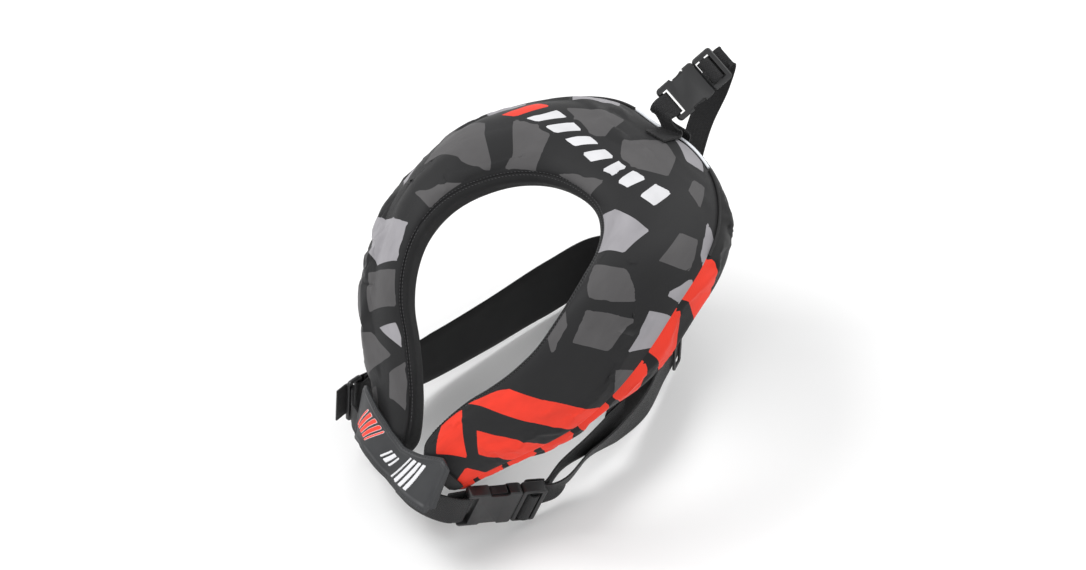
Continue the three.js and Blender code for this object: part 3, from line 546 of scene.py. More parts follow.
# The printed pattern: shards as corners (t, degrees) on the cover, with a tone each.
shards = [
    (2, [(-0.50, 30), (-0.44, 118), (-0.53, 126), (-0.56, 91), (-0.52, 43)]),
    (1, [(-0.58, 88), (-0.55, 128), (-0.63, 134), (-0.66, 88)]),
    (1, [(-0.60, 40), (-0.59, 80), (-0.67, 80), (-0.68, 30)]),
    (2, [(-0.69, 92), (-0.67, 122), (-0.73, 130)]),
    (1, [(-0.70, 58), (-0.70, 88), (-0.75, 104), (-0.80, 34)]),
    (1, [(-0.76, 134), (-0.79, 96), (-0.85, 92), (-0.88, 128)]),
    (1, [(-0.82, 80), (-0.83, 34), (-0.9, 40), (-0.89, 80)]),
    (2, [(-0.43, 34), (-0.37, 50), (-0.42, 82)]),
    (1, [(-0.37, 84), (-0.34, 50), (-0.25, 84), (-0.21, 121)]),
    (1, [(-0.39, 96), (-0.27, 128), (-0.37, 138)]),
    (2, [(-0.29, 36), (-0.22, 34), (-0.22, 66), (-0.27, 60)]),
    (1, [(-0.20, 84), (-0.11, 92), (-0.10, 142), (-0.17, 132)]),
    (2, [(-0.17, 36), (-0.09, 32), (-0.07, 56), (-0.14, 64)]),
    (1, [(-0.13, 78), (-0.03, 68), (-0.02, 88), (-0.08, 94)]),
    (1, [(0.01, 86), (0.05, 62), (0.10, 68), (0.13, 82), (0.06, 94)]),
    (2, [(0.045, 44), (0.06, 30), (0.11, 30), (0.14, 47), (0.11, 60)]),
    (1, [(0.15, 64), (0.17, 54), (0.21, 64), (0.17, 72)]),
    (1, [(-0.05, 140), (0.06, 108), (0.05, 146)]),
    (2, [(0.12, 146), (0.15, 108), (0.24, 90), (0.28, 94), (0.24, 142)]),
    (1, [(0.25, 80), (0.27, 58), (0.33, 49), (0.30, 86)]),
    (2, [(0.23, 54), (0.27, 30), (0.32, 30), (0.30, 46)]),
    (1, [(0.29, 124), (0.32, 92), (0.38, 84), (0.38, 108)]),
    (1, [(0.41, 103), (0.41, 79), (0.48, 82), (0.49, 98)]),
    (2, [(0.40, 66), (0.40, 30), (0.45, 30), (0.47, 66)]),
    (1, [(0.50, 66), (0.49, 30), (0.54, 30)]),
    (2, [(0.34, 40), (0.345, 30), (0.38, 30), (0.37, 60)]),
    (1, [(0.42, 138), (0.46, 112), (0.53, 108), (0.50, 142)]),
    (3, [(0.77, 140), (0.66, 110), (0.57, 32), (0.63, 30)]),
    (3, [(0.86, 146), (0.79, 132), (0.86, 82), (0.92, 94)]),
    (3, [(0.79, 91), (0.69, 32), (0.77, 31), (0.83, 79)]),
    (3, [(0.98, 46), (0.88, 73), (0.85, 30), (0.94, 30)]),
]
# On the side panel red runs between black points, ahead of the shoulder seam.
sideShards = [(3, [(start, 34), (start + 0.05, -34), (start + 0.085, -34), (start + 0.072, 34)])
              for start in (0.3, 0.385, 0.47, 0.555, 0.64, 0.725, 0.81, 0.895)]
sideShards += [(1, [(-t, 34), (-t - 0.02, -34), (-t - 0.07, -34), (-t - 0.06, 34)])
               for t in (0.46, 0.56, 0.66, 0.76, 0.86)]
# Slanted bars across the nape, the first one red, along a bow of places (t, share across).
napeBars = {
    "bow": [(-0.21, 0.76), (-0.13, 0.58), (-0.05, 0.44), (0.03, 0.36), (0.11, 0.42), (0.2, 0.64)],
    "count": 8, "width": 0.58, "height": 10.0, "lean": 4.0, "margin": 5.0,
}
patternScale = {"along": 450.0, "across": 150.0, "up": 46.0, "reach": 120, "outside": -50.0}


# Signed distance in millimetres to a shard's edge, positive inside.
def shardDistance(point, corners):
    nearest = 1e9
    inside = False
    for k, first in enumerate(corners):
        second = corners[(k + 1) % len(corners)]
        way = second - first
        share = min(max((point - first).dot(way) / max(way.length_squared, 1e-9), 0), 1)
        nearest = min(nearest, (point - first - way * share).length)
        if (first.y > point.y) != (second.y > point.y):
            if point.x < first.x + (point.y - first.y) / (second.y - first.y) * way.x:
                inside = not inside
    return nearest if inside else -nearest


# A place on the cloth in flat millimetres: along the collar, and across or up its section.
def flatPlace(t, degrees, upright):
    angle = math.radians(degrees)
    turned = math.sin(angle) if upright else math.cos(angle)
    share = 0.5 + pushedOut(turned) / 2
    return Vector((t * patternScale["along"], share * patternScale["up" if upright else "across"]))


def flatPattern(pattern, upright):
    return [(tone, [flatPlace(t, degrees, upright) for t, degrees in corners])
            for tone, corners in pattern]


def flatBars(values):
    bow = [Vector((t * patternScale["along"], share * patternScale["across"], 0))
           for t, share in values["bow"]]
    bars = []
    for k in range(values["count"]):
        start = curvePoint(bow, k / values["count"]).to_2d()
        end = curvePoint(bow, (k + values["width"]) / values["count"]).to_2d()
        way = (end - start).normalized()
        high = Vector((-way.y, way.x)) * values["height"]
        lean = way * values["lean"]
        bars.append((3 if k < 1 else 4, [start - high - lean, end - high - lean,
                                         end + high + lean, start + high + lean]))
    return bars


def nearestShape(point, shapes):
    best = (patternScale["outside"], 0)
    for tone, corners in shapes:
        if min(abs(corner.x - point.x) for corner in corners) < patternScale["reach"]:
            best = max(best, (shardDistance(point, corners), tone))
    return best


def paintShards(obj, places, pattern, upright):
    flat = flatPattern(pattern, upright)
    bars = [] if upright else flatBars(napeBars)
    names = ("shardEdge", "shardTone", "barEdge", "barTone")
    for name in names:
        obj.data.attributes.new(name, "FLOAT", "POINT")
    layers = [obj.data.attributes[name] for name in names]
    for k, (t, degrees) in enumerate(places):
        point = flatPlace(t, degrees, upright)
        edge, tone = nearestShape(point, flat)
        barEdge, barTone = nearestShape(point, bars)
        edge = min(edge, -napeBars["margin"] - barEdge)
        for layer, value in zip(layers, (edge, tone, barEdge, barTone)):
            layer.data[k].value = value


# The cloth panels, each with its angles, flat width, slot, print and most swelling.
panelValues = {
    "cell": 3.1,
    "seamRoll": 1.7,
    "rollWidth": 0.045,
    "frames": 18,
    "heldBelow": 0.35,
    "cloth": {
        "quality": 4, "mass": 0.25, "tension_stiffness": 18, "compression_stiffness": 18,
        "bending_stiffness": 0.6, "use_pressure": True, "uniform_pressure_force": 4.0,
        "shrink_min": -0.05, "vertex_group_mass": "held",
    },
    "simulatedFrom": 4,
    "plainSwell": 0.8,
    "thicknessShare": 0.9,
    "fill": 0.45,
    "faces": {
        "cover_panel": (32, 148, 170, "printed_cloth", shards, 10.5),
        "side_panel": (-34, 32, 48, "side_cloth", sideShards, 7.0),
        "back_lining": (-146, -34, 170, "black_cloth", None, 3.0),
        "neck_lining": (148, 214, 48, "black_cloth", None, 2.5),
    },
    "spans": ("left", "nape", "right"),
    "length": 860,
    "fullness": 9.0,
}


# How far a panel may swell at a place: less at its seams and under what lies on it.
def swellLimit(t, degrees, share, full):
    edge = min(share, 1 - share)
    limit = full * smooth(edge, -0.02, 0.28) * lerp(0.62, 1.0, smooth(-t, -0.12, 0.1))
    underPatch = smooth(abs(t), 0.76, 0.85)
    limit *= 1 - 0.85 * underPatch
    if degrees < 80:
        underTab = 1 - smooth(abs(t - 0.035), 0.05, 0.13)
        limit *= 1 - 0.95 * underTab
    return limit


# The angle at a share of a face, with rows evenly spaced over the cloth.
def evenDegrees(face, w):
    start, end = panelValues["faces"][face][:2]
    upright = face in ("side_panel", "neck_lining")
    turn = math.sin if upright else math.cos
    first, last = (pushedOut(turn(math.radians(degrees))) for degrees in (start, end))
    value = lerp(first, last, w)
    value = math.copysign(abs(value) ** (1 / collar["roundness"]), value)
    if upright:
        degrees = math.degrees(math.asin(value))
        return 180 - degrees if face == "neck_lining" else degrees
    degrees = math.degrees(math.acos(value))
    return -degrees if face == "back_lining" else degrees


# The cloth over the wearer's right shoulder blade is fuller, its outer seam included.
def fullness(t, degrees):
    behind = smooth(-t, -0.02, 0.14) * (1 - smooth(-t, 0.42, 0.6))
    return panelValues["fullness"] * behind * smooth(math.cos(math.radians(degrees)), -0.3, 0.5)


def gridFace(name, cellsAlong, cellsAcross):
    deselectAll()
    bpy.ops.mesh.primitive_grid_add(x_subdivisions=cellsAlong, y_subdivisions=cellsAcross, size=2)
    obj = bpy.context.object
    obj.name = name
    obj.data.name = name
    shares = [((v.co.x + 1) / 2, (v.co.y + 1) / 2) for v in obj.data.vertices]
    return obj, shares


def setUv(obj, places):
    layer = obj.data.uv_layers[0] if obj.data.uv_layers else obj.data.uv_layers.new()
    layer.name = "cloth"
    for loop in obj.data.loops:
        layer.data[loop.index].uv = places[loop.vertex_index]


# Inflates a panel with its seams held, and keeps each place within its limit and outwards.
def swell(obj, limits, values):
    group = obj.vertex_groups.new(name="held")
    for k, limit in enumerate(limits):
        group.add([k], 1.0 if limit < values["heldBelow"] else 0.0, "REPLACE")
    modifier = obj.modifiers.new("cloth", "CLOTH")
    for name, value in values["cloth"].items():
        setattr(modifier.settings, name, value)
    modifier.settings.effector_weights.gravity = 0
    modifier.collision_settings.use_collision = False
    modifier.collision_settings.use_self_collision = False
    scene = bpy.context.scene
    for step in range(1, values["frames"] + 1):
        scene.frame_set(step)
    shown = obj.evaluated_get(bpy.context.evaluated_depsgraph_get())
    swollen = [v.co.copy() for v in shown.data.vertices]
    obj.modifiers.remove(modifier)
    scene.frame_set(1)
    outs = [vertex.normal.copy() for vertex in obj.data.vertices]
    for vertex, place, limit, out in zip(obj.data.vertices, swollen, limits, outs):
        move = place - vertex.co
        move -= out * min(move.dot(out), 0)
        reach = limit * millimetre
        if move.length > reach:
            move *= reach / max(move.length, 1e-9)
        vertex.co += move
    obj.vertex_groups.clear()


def clothPanel(face, values=panelValues):
    width, slotName, pattern, full = values["faces"][face][2:]
    length = values["length"]
    cellsAcross = max(12, round(width / values["cell"]))
    obj, shares = gridFace(f"{face}_cloth", round(length / values["cell"]), cellsAcross)
    sections = {}
    places, flat, limits = [], [], []
    for vertex, (u, w) in zip(obj.data.vertices, shares):
        t, degrees = lerp(-1, 1, u), evenDegrees(face, w)
        key = round(u, 4)
        if key not in sections:
            sections[key] = Section(t)
        seam = min(w, 1 - w) / values["rollWidth"]
        end = min(u, 1 - u) / values["rollWidth"] * 4
        roll = values["seamRoll"] * max(0, 1 - min(seam, end)) ** 2
        inset = 0.1 + roll - fullness(t, degrees)
        vertex.co = row(sections[key].skin(degrees, inset))
        places.append((t, degrees))
        flat.append((u * length * millimetre, w * width * millimetre))
        limits.append(swellLimit(t, degrees, w, full) * smooth(min(u, 1 - u), -0.004, 0.03))
    if pattern:
        paintShards(obj, places, pattern, face == "side_panel")
    setUv(obj, flat)
    middle = obj.data.polygons[len(obj.data.polygons) // 2]
    inner = row(Section(places[middle.vertices[0]][0]).at(0.5, 0.5))
    if middle.normal.dot(middle.center - inner) < 0:
        obj.data.flip_normals()
    if full > values["simulatedFrom"]:
        swell(obj, limits, values)
    else:
        outs = [vertex.normal.copy() for vertex in obj.data.vertices]
        for vertex, limit, out in zip(obj.data.vertices, limits, outs):
            vertex.co += out * limit * millimetre * values["plainSwell"]
    solid = obj.modifiers.new("thickness", "SOLIDIFY")
    solid.thickness = collar["clothThickness"] * millimetre * values["thicknessShare"]
    solid.offset = -1
    solid.use_even_offset = False
    applyModifiers(obj)
    smoothByAngle(obj, 50)
    finishPiece(obj, root, slotName, *[f"{face}_{side}" for side in values["spans"]])


for faceName in panelValues["faces"]:
    clothPanel(faceName)
print("cloth panels sewn")


# A frame to work in, in millimetres: x along the piece, z out of it, y across.
class Bench:
    def __init__(self, origin, along, upHint):
        self.origin = Vector(origin)
        self.x = Vector(along).normalized()
        self.z = (Vector(upHint) - self.x * Vector(upHint).dot(self.x)).normalized()
        self.y = self.z.cross(self.x)

    def place(self, x, y, z):
        return self.origin + self.x * x + self.y * y + self.z * z

    def way(self, x, y, z):
        return self.x * x + self.y * y + self.z * z


straps = {
    "beltWebbing": 40,
    "strapWebbing": 25,
    "webbingThickness": 1.6,
    "bandThickness": 3,
    "backBandWidth": 76,
    "clearance": 0.3,
    "ringBar": 4,
    "buckleBar": 5,
    "slot": 5.4,
    "sliderBar": 2.2,
    "sliderGap": 0.9,
    "slideStop": 8.62,
}
halfBelt = straps["beltWebbing"] / 2 - 1
halfStrap = straps["strapWebbing"] / 2 - 0.5
halfBack = straps["backBandWidth"] / 2
webbingThick = straps["webbingThickness"]
upright = Vector((0, 0, 1))


# A flat strap along a path of stops, each [centre, across, half width], in millimetres.
class Ribbon:
    def __init__(self, stops):
        self.centres = [Vector(stop[0]) for stop in stops]
        self.acrosses = [Vector(stop[1]).normalized() for stop in stops]
        self.halves = [stop[2] for stop in stops]

    def at(self, share):
        centre = curvePoint(self.centres, share)
        step = 0.0008
        along = (curvePoint(self.centres, share + step)
                 - curvePoint(self.centres, share - step)).normalized()
        across = curvePoint(self.acrosses, share)
        across = (across - along * across.dot(along)).normalized()
        place = share * (len(self.halves) - 1)
        k = min(int(place), len(self.halves) - 2)
        half = lerp(self.halves[k], self.halves[k + 1], place - k)
        return centre, across, along.cross(across).normalized(), half


def roundBar(bench, middle, way, radius, across, half):
    stops = []
    for degrees in (90, 50, 15, -15, -50, -90):
        angle = math.radians(degrees)
        place = bench.place(middle + way * radius * math.cos(angle), 0, radius * math.sin(angle))
        stops.append((place, across, half))
    return stops


# Stops at places (x, z) of a bench.
def benchStops(bench, places, across, half):
    return [(bench.place(x, 0, z), across, half) for x, z in places]


def barTurn(bar):
    return bar * 0.71 + straps["clearance"] + webbingThick / 2


def roundEdges(obj, width, sharpest):
    bevel = obj.modifiers.new("round", "BEVEL")
    bevel.width = width * millimetre
    bevel.segments = 2
    bevel.limit_method = "ANGLE"
    bevel.angle_limit = math.radians(sharpest)


# A strap's cloth: a grid laid along the ribbon, given its thickness and rounded edges.
def strapPiece(name, stops, thickness, body, slotName, node, steps, cuts, shape=None, toneOf=None):
    ribbonWay = Ribbon(stops)
    obj, shares = gridFace(name, steps, cuts)
    shares = [(round(u, 5), w) for u, w in shares]
    frames = {}
    length = 0.0
    lengths = {}
    last = None
    for u in sorted({u for u, w in shares}):
        frames[u] = ribbonWay.at(u)
        if last is not None:
            length += (frames[u][0] - last).length
        lengths[u] = length
        last = frames[u][0]
    flat, tones = [], []
    for vertex, (u, w) in zip(obj.data.vertices, shares):
        centre, across, out, half = frames[u]
        side = (w * 2 - 1) * half
        raised = shape(lengths[u], length, side, half) if shape else 0.0
        vertex.co = row(centre + across * side + out * raised)
        flat.append((lengths[u] * millimetre, side * millimetre))
        if toneOf:
            tones.append(toneOf(lengths[u], length, side, half))
    setUv(obj, flat)
    if toneOf:
        layer = obj.data.attributes.new("shardTone", "FLOAT", "POINT")
        for k, tone in enumerate(tones):
            layer.data[k].value = tone
    solid = obj.modifiers.new("thickness", "SOLIDIFY")
    solid.thickness = thickness * millimetre
    solid.offset = 0
    roundEdges(obj, thickness * 0.3, 60)
    applyModifiers(obj)
    makeActive(obj)
    bpy.ops.object.mode_set(mode="EDIT")
    bpy.ops.mesh.select_all(action="SELECT")
    bpy.ops.mesh.normals_make_consistent(inside=False)
    bpy.ops.object.mode_set(mode="OBJECT")
    smoothByAngle(obj, 45)
    finishPiece(obj, body, slotName, node)


def webbingStrap(name, stops, node, steps, cuts=8, body=root):
    strapPiece(name, stops, webbingThick, body, "webbing", node, steps, cuts)


# The two buckles' frames, and the stops of the padded band round the back.
frontBench = Bench((56, 14, -46), (0.48046003, 0.83705926, -0.26170588),
                   (0.8314468, -0.52968052, -0.16773423))
topBench = Bench((9.5, 373, 184), (0.28, 0.84, 0.463), (0.455, -0.5416, 0.7071))
bandStops = [
    (Vector(place), upright, half) for place, half in (
        ((-105, 53, -31), halfBelt), ((-104, 90, -38), halfBelt + 4),
        ((-99, 140, -51), halfBack - 6), ((-88, 215, -56), halfBack - 3),
        ((-76, 290, -56), halfBack), ((-60, 352, -56), halfBack),
        ((-22, 379, -56), halfBack), ((20, 376, -56), halfBack),
        ((54, 342, -56), halfBack - 2), ((76, 285, -54), halfBack - 4),
        ((89, 228, -50), halfBack - 8), ((95, 176, -44), halfBelt + 1))]
bandLine = [stop[0] for stop in bandStops]
offBand = straps["bandThickness"] / 2 + straps["clearance"] + webbingThick / 2


def onBand(stop):
    return curvePoint(bandLine, stop / (len(bandLine) - 1))


def alongBand(stop):
    return (onBand(stop + 0.01) - onBand(stop - 0.01)).normalized()


def besideBand(stop, out):
    return onBand(stop) + upright.cross(alongBand(stop)).normalized() * out


def buckleLengths(webbing):
    return {
        "thick": webbing * 0.2 + 5,
        "socket": webbing * 0.75 + 23,
        "plug": webbing * 0.2 + 17,
    }


# The way that webbing threads a plug's ladder, in bench lengths and heights.
def ladderThread(lengths):
    slot, bar = straps["slot"], straps["buckleBar"]
    end = lengths["socket"] + straps["clearance"] + lengths["plug"]
    outer = end - bar - slot
    inner = outer - slot - bar
    low = -lengths["thick"] / 2 - webbingThick / 2 - 0.8
    lower = low - webbingThick - 0.9
    top = lengths["thick"] / 2 + webbingThick / 2 + 0.8
    bend = 1.9
    return [
        (end + 6, lower - 1), (outer + slot, lower - 0.3), (inner + slot * 0.8, lower),
        (inner + slot / 2 - 0.4, lower + bend), (inner + slot / 2, 0),
        (inner + slot / 2 + 0.4, top - bend), (inner + slot / 2 + bend, top),
        (outer + slot / 2 - bend, top), (outer + slot / 2 - 0.4, top - bend),
        (outer + slot / 2, 0), (outer + slot / 2 + 0.4, low + bend),
        (outer + slot / 2 + bend + 0.6, low), (end + 2, low), (end + 9, low - 0.6)]


frontLengths = buckleLengths(straps["beltWebbing"])
topLengths = buckleLengths(straps["strapWebbing"])


# The padded band has a raised middle and a flat sewn hem.
def bandShape(along, length, side, half):
    hem = smooth(half - abs(side), 0.0, 7.0)
    quilting = 0.35 * math.sin(along / 7.0) * smooth(half - abs(side), 5.0, 9.0)
    return 1.1 * hem + quilting * 0.4 - 0.4


def buildBelt():
    strapPiece("belt_band_cloth", bandStops, straps["bandThickness"] - 1.0, root, "black_cloth",
               "belt_band", 200, 20, shape=bandShape)
    slideStop = straps["slideStop"]
    offSlider = (straps["bandThickness"] / 2 + straps["clearance"] + straps["sliderBar"]
                 + straps["sliderGap"] + webbingThick / 2)
    slideWay = onBand(slideStop + 0.01) - onBand(slideStop - 0.01)
    sliderBench = Bench(besideBand(slideStop, offSlider), slideWay,
                        besideBand(slideStop, 9) - onBand(slideStop))
    sliderAcross = sliderBench.way(0, -1, 0)
    across = frontBench.way(0, 1, 0)
    stops = [
        (besideBand(10.5, offBand + 0.7), upright, halfBelt),
        (besideBand(10.95, offBand + 0.9), upright, halfBelt),
        ((97, 144, -43), (0.2, -0.28, 0.94), halfBelt),
        ((91, 116, -50), (0.3, -0.42, 0.86), halfBelt)]
    stops += benchStops(frontBench, ladderThread(frontLengths), across, halfBelt)
    stops += [
        ((102, 108, -58), (0.36, -0.42, 0.83), halfBelt),
        ((101, 146, -53), (0.38, -0.48, 0.79), halfBelt),
        ((105, 188, -52), (0.24, -0.3, 0.92), halfBelt),
        ((101, 232, -53), (0.08, -0.1, 0.99), halfBelt)]
    stops += benchStops(sliderBench, [(x, 0) for x in (30, 20, 10, 0, -10, -20)], sliderAcross,
                        halfBelt)
    body = ("front_plug_body", (99, 135, -47), frontBench.place(86, 0, 0))
    webbingStrap("belt_webbing_strap", stops, "belt_webbing", 300, body=body)
    turn = barTurn(straps["buckleBar"])
    front = [
        ((-14, -3, -43), upright, halfBelt), ((10, -8, -43), upright, halfBelt),
        ((34, -6, -43), upright, halfBelt)]
    front += benchStops(frontBench, [(-10, turn * 0.9)], across, halfBelt)
    front += roundBar(frontBench, 0, 1, turn, across, halfBelt)
    front += benchStops(frontBench, [(-10, -turn * 0.8), (-20, -turn * 0.6)], across, halfBelt)
    webbingStrap("front_tab_strap", front, "front_tab", 150)


def buildRingStraps():
    ringBench = Bench(onBand(0) + Vector((-0.6, -13, 1)), (0.03, 0.99, -0.1), (-1, 0.03, 0))
    across = ringBench.way(0, -1, 0)
    turn = barTurn(straps["ringBar"]) + 0.38
    barPlace = 9 - straps["ringBar"] / 2
    inner = [((-64, 14, -40), upright, halfBelt), ((-80, 20, -37), upright, halfBelt),
             ((-93, 25, -33), upright, halfBelt)]
    inner += list(reversed(roundBar(ringBench, -barPlace, 1, turn, across, halfBelt)))
    inner += benchStops(ringBench, [(-barPlace - 7, turn * 0.9), (-barPlace - 13, turn * 0.8)],
                        across, halfBelt)
    webbingStrap("ring_webbing_strap", inner, "ring_webbing", 120)
    loop = [(besideBand(0.55, -offBand - 0.3), upright, halfBelt),
            (besideBand(0.25, -offBand - 0.3), upright, halfBelt)]
    loop += list(reversed(roundBar(ringBench, barPlace, -1, turn, across, halfBelt)))
    loop += [(besideBand(0.25, offBand + 0.3), upright, halfBelt),
             (besideBand(0.55, offBand + 0.3), upright, halfBelt)]
    webbingStrap("band_end_loop_strap", loop, "band_end_loop", 120)


def buildNapeStraps():
    across = topBench.way(0, 1, 0)
    level = Vector((-1, 0, 0))
    turn = barTurn(straps["buckleBar"]) + 0.5

    def onNape(degrees, lift):
        return skinPoint(0.035, degrees, -lift), level, halfStrap

    tab = [onNape(66, 2.2), onNape(54, 2.6), onNape(45, 5.2),
           (topBench.place(-10, 0, turn * 1.3), across, halfStrap)]
    tab += roundBar(topBench, 0, 1, turn, across, halfStrap)
    tab += [(topBench.place(-8, 0, -turn * 1.4), across, halfStrap),
            onNape(26, 6.5), onNape(14, 2.6), onNape(2, 1.9), onNape(-8, 1.9)]
    webbingStrap("nape_tab_strap", tab, "nape_tab", 150, 6)
    foot = Vector((-1, 0.08, 0))
    stops = [(besideBand(6.5, offBand) + Vector((0, 0, drop)), foot, halfStrap)
             for drop in (-34, -10, 14)]
    stops += [(besideBand(6.5, offBand + 0.6) + Vector((0, 0, 34)), foot, halfStrap),
              ((8, 392, 20), (-1, -0.05, 0), halfStrap),
              ((12, 402, 80), (-0.98, -0.1, 0.1), halfStrap),
              ((17, 414, 140), (-0.95, -0.18, 0.2), halfStrap),
              ((23, 430, 180), (-0.91, -0.23, 0.33), halfStrap)]
    stops += benchStops(topBench, ladderThread(topLengths), across, halfStrap)
    body = ("nape_plug_body", (12, 402, 80), (24, 420, 195))
    webbingStrap("back_strap_webbing", stops, "back_strap", 300, 6, body)


# The patch sewn over the meeting lobes.
patchValues = {
    "endWidth": 57,
    "waist": 38,
    "thickness": 2.6,
    "hem": 4.2,
    "ridge": 0.75,
    "ridgeWidth": 1.3,
    "barHeight": 0.7,
    # Raised slanted bars: where each starts and ends along the patch, and its half height.
    "bars": [(16, 44, 13), (64, 78, 7), (86, 112, 15)],
    "slant": 0.45,
    "stripePitch": 7.0,
    "sunkMiddle": 0.25,
    "toneInset": 6.5,
    "toneHeight": 0.12,
    "redEnd": 50,
}


def patchShape(along, length, side, half):
    values = patchValues
    fromEdge = min(half - abs(side), along, length - along)
    ridge = values["ridge"] * math.exp(-((fromEdge - values["hem"]) / values["ridgeWidth"]) ** 2)
    raised = 0.0
    leaned = along - side * values["slant"]
    for start, end, barHalf in values["bars"]:
        inBar = min(leaned - start, end - leaned, barHalf - abs(side))
        stripes = 0.5 + 0.5 * math.cos((leaned - start) * 2 * math.pi / values["stripePitch"])
        raised = max(raised, smooth(inBar, 0.0, 1.0) * smooth(stripes, 0.3, 0.6))
    sunk = values["sunkMiddle"] * smooth(fromEdge, 5.5, 7.5)
    return ridge + raised * values["barHeight"] - sunk


# Tone of the patch's bars: 1 white, 2 red.
def patchTone(along, length, side, half):
    raised = patchShape(along, length, side, half)
    fromEdge = min(half - abs(side), along, length - along)
    if fromEdge < patchValues["toneInset"] or raised < patchValues["toneHeight"]:
        return 0.0
    return 2.0 if along < patchValues["redEnd"] else 1.0


def buildPatch():
    values = patchValues
    end, waist = values["endWidth"] / 2, values["waist"] / 2
    slanted = (-0.1, 0.55, 0.83)
    leftEnd = (0.25, 0.65, 0.7)
    stops = [
        ((-77, 19, -9), (0, 0.3, 0.95), end - 9), ((-70, 13, -4), (0, 0.36, 0.93), end),
        ((-51, 3, -2), (-0.05, 0.48, 0.87), end - 6), ((-30, -4, -7), slanted, waist + 1),
        ((-9, -8, -12), slanted, waist), ((17, -12, -10), (0.15, 0.62, 0.76), end - 6),
        ((43, -12, -4), leftEnd, end - 1), ((52, -10, -5), leftEnd, end - 9)]
    strapPiece("front_patch_rubber", stops, values["thickness"] - 0.8, root, "patch_rubber",
               "front_patch", 240, 100, shape=patchShape, toneOf=patchTone)
    return Ribbon(stops)


# Small rounded stitches laid along runs of points, as one mesh.
def stitchMesh(name, runs, slotName, spacing=3.4, radius=0.3):
    deselectAll()
    bpy.ops.mesh.primitive_uv_sphere_add(segments=6, ring_count=4, radius=radius)
    model = bpy.context.object
    joined = bmesh.new()
    for points, outs in runs:
        walked, due = 0.0, 0.0
        for k in range(1, len(points)):
            step = points[k] - points[k - 1]
            length = step.length
            while due <= walked + length and length > 0:
                share = (due - walked) / length
                centre = points[k - 1].lerp(points[k], share)
                out = outs[k - 1].lerp(outs[k], share).normalized()
                along = (step - out * step.dot(out)).normalized()
                turn = Matrix((along, out.cross(along), out)).transposed().to_4x4()
                longer = Matrix.Diagonal((spacing * 0.36 / radius, 1, 0.8, 1))
                part = model.data.copy()
                part.transform(Matrix.Translation(centre) @ turn @ longer)
                joined.from_mesh(part)
                bpy.data.meshes.remove(part)
                due += spacing
            walked += length
    mesh = bpy.data.meshes.new(name)
    joined.to_mesh(mesh)
    joined.free()
    bpy.data.objects.remove(model)
    mesh.transform(Matrix.Translation(lobesMeet * millimetre) @ Matrix.Scale(millimetre, 4))
    obj = newObject(name, mesh)
    smoothByAngle(obj, 80)
    finishPiece(obj, root, slotName, material="thread")


def alongSkin(degrees, t0, t1, lift, steps=90):
    points, outs = [], []
    for k in range(steps + 1):
        t = lerp(t0, t1, k / steps)
        section = Section(t)
        point = section.skin(degrees, -lift - fullness(t, degrees))
        points.append(point)
        outs.append((point - section.skin(degrees, 5)).normalized())
    return points, outs


def alongRibbon(ribbonWay, share0, share1, sideShare, inFromEdge, lift, steps=60):
    points, outs = [], []
    for k in range(steps + 1):
        centre, across, out, half = ribbonWay.at(lerp(share0, share1, k / steps))
        points.append(centre + across * sideShare * (half - inFromEdge) + out * lift)
        outs.append(out)
    return points, outs


def buildStitches(patchWay):
    seams = [alongSkin(degrees, start, end, lift)
             for degrees, far, lift in ((151.5, 0.9, 0.15), (142.5, 0.84, -0.1))
             for start, end in ((-0.4, 0.4), (0.43, far), (-far, -0.43))]
    stitchMesh("neck_seam_stitches", seams, "printed_cloth")
    lift = patchValues["thickness"] / 2 + 0.1
    rims = [alongRibbon(patchWay, 0.04, 0.96, side, 2.0, lift) for side in (-1, 1)]
    stitchMesh("patch_stitches", rims, "patch_rubber")
    bandWay = Ribbon(bandStops)
    hems = [alongRibbon(bandWay, 0.02, 0.98, side, 2.5, lift, 140)
            for lift in (0.75, -1.75) for side in (-1, 1)]
    stitchMesh("band_hem_stitches", hems, "black_cloth")


# Piping along the back seam, bright in the middle and black at its two ends.
pipingValues = {
    "radius": 1.4,
    "seamDegrees": 32,
    "lift": 0.9,
    "steps": 16,
    "runs": {
        "nape_piping_right": (-0.3, -0.06, "plain_cloth"),
        "nape_piping_bright": (-0.055, 0.13, "reflective_tape"),
        "nape_piping_left": (0.135, 0.3, "plain_cloth"),
    },
}


def buildPiping(name, t0, t1, materialName):
    steps, seam = pipingValues["steps"], pipingValues["seamDegrees"]
    points = []
    for k in range(steps + 1):
        t = lerp(t0, t1, k / steps)
        lift = pipingValues["lift"] + fullness(t, seam)
        points.append(skinPoint(t, seam, -lift))
    data = bpy.data.curves.new(name, "CURVE")
    data.dimensions = "3D"
    data.bevel_depth = pipingValues["radius"] * millimetre
    data.bevel_resolution = 3
    data.use_fill_caps = True
    spline = data.splines.new("NURBS")
    spline.points.add(len(points) - 1)
    spline.order_u = 4
    spline.use_endpoint_u = True
    for k, point in enumerate(points):
        spline.points[k].co = (*row(point), 1)
    curve = newObject(name, data)
    makeActive(curve)
    bpy.ops.object.convert(target="MESH")
    obj = bpy.context.object
    smoothByAngle(obj, 60)
    finishPiece(obj, root, "reflective_tape", "nape_piping", material=materialName)
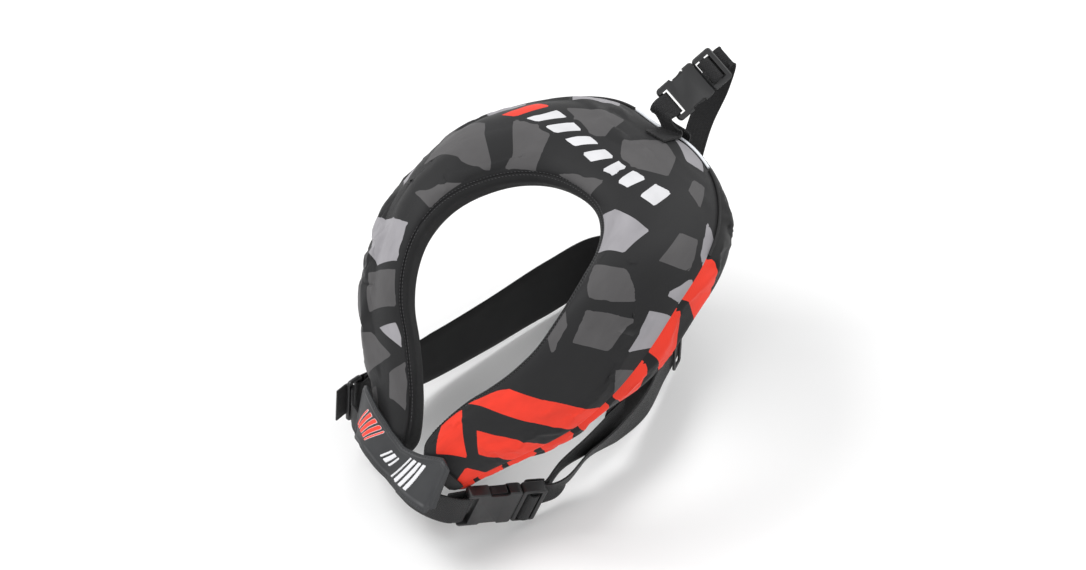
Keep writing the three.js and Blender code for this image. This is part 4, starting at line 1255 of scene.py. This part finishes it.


# Moulded pieces, and some cloth ones, are the CAD shape with its edges rounded.
def roundedCopy(node, body, slotName, width, sharpest=28, material=None):
    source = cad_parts[node]
    mesh = source.data.copy()
    mesh.transform(source.matrix_world)
    obj = newObject(f"{node}_moulding", mesh)
    makeActive(obj)
    bpy.ops.object.mode_set(mode="EDIT")
    bpy.ops.mesh.select_all(action="SELECT")
    bpy.ops.mesh.remove_doubles(threshold=2e-6)
    bpy.ops.mesh.dissolve_limited(angle_limit=math.radians(2))
    bpy.ops.object.mode_set(mode="OBJECT")
    roundEdges(obj, width, sharpest)
    applyModifiers(obj)
    smoothByAngle(obj, 40)
    finishPiece(obj, body, slotName, node, material=material)
    return obj


roundings = {
    "front_socket": ("jacket", "buckle_plastic", 0.7),
    "front_plug": ("front_plug_body", "buckle_plastic", 0.6),
    "nape_socket": ("jacket", "buckle_plastic", 0.55),
    "nape_plug": ("nape_plug_body", "buckle_plastic", 0.5),
    "belt_ring": ("jacket", "buckle_plastic", 0.7),
    "tail_slider": ("slider_body", "buckle_plastic", 0.5),
    "pull_knob": ("knob_body", "toggle_plastic", 0.5),
    "lobe_end_left": ("jacket", "black_cloth", 0.8),
    "lobe_end_right": ("jacket", "black_cloth", 0.8),
    "patch_pad_left": ("jacket", "black_cloth", 0.6),
    "patch_pad_right": ("jacket", "black_cloth", 0.6),
}


def finishHardware():
    for node, (body, slotName, width) in roundings.items():
        soft = slotName == "black_cloth"
        obj = roundedCopy(node, body, slotName, width, material="plain_cloth" if soft else None)


# Inner pieces keep their CAD shape and take a finish.
keptFinishes = {
    "buckle_plastic": ("front_prong_a", "front_prong_b", "nape_prong_a", "nape_prong_b"),
    "inflator_plastic": ("inflator_body",),
    "steel": ("lever_pin", "firing_lever", "piercing_pin", "pin_spring", "gas_cylinder",
              "manifold_nut"),
    "seal_rubber": ("cylinder_gasket", "oral_tube", "oral_valve", "dust_cap"),
    "bladder_fabric": ("tube_flange",),
    "whistle_plastic": ("valve_poppet", "whistle"),
    "cord": ("whistle_cord", "pull_cord"),
}


def finishKeptNodes():
    for finishName, nodes in keptFinishes.items():
        for obj in [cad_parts[node] for node in nodes]:
            if not obj.material_slots:
                obj.data.materials.append(None)
            for materialSlot in obj.material_slots:
                materialSlot.link = "OBJECT"
                materialSlot.material = materials[finishName]


# The folded bladder: its CAD form, softened.
def buildBladder():
    obj = roundedCopy("bladder", root, "bladder_fabric", 2.0, sharpest=20)


buildBelt()
buildRingStraps()
buildNapeStraps()
print("webbing laid")
patchWay = buildPatch()
buildStitches(patchWay)
for pipingName, pipingRun in pipingValues["runs"].items():
    buildPiping(pipingName, *pipingRun)
print("patch, stitches and piping sewn")
finishHardware()
finishKeptNodes()
buildBladder()
print("hardware finished")
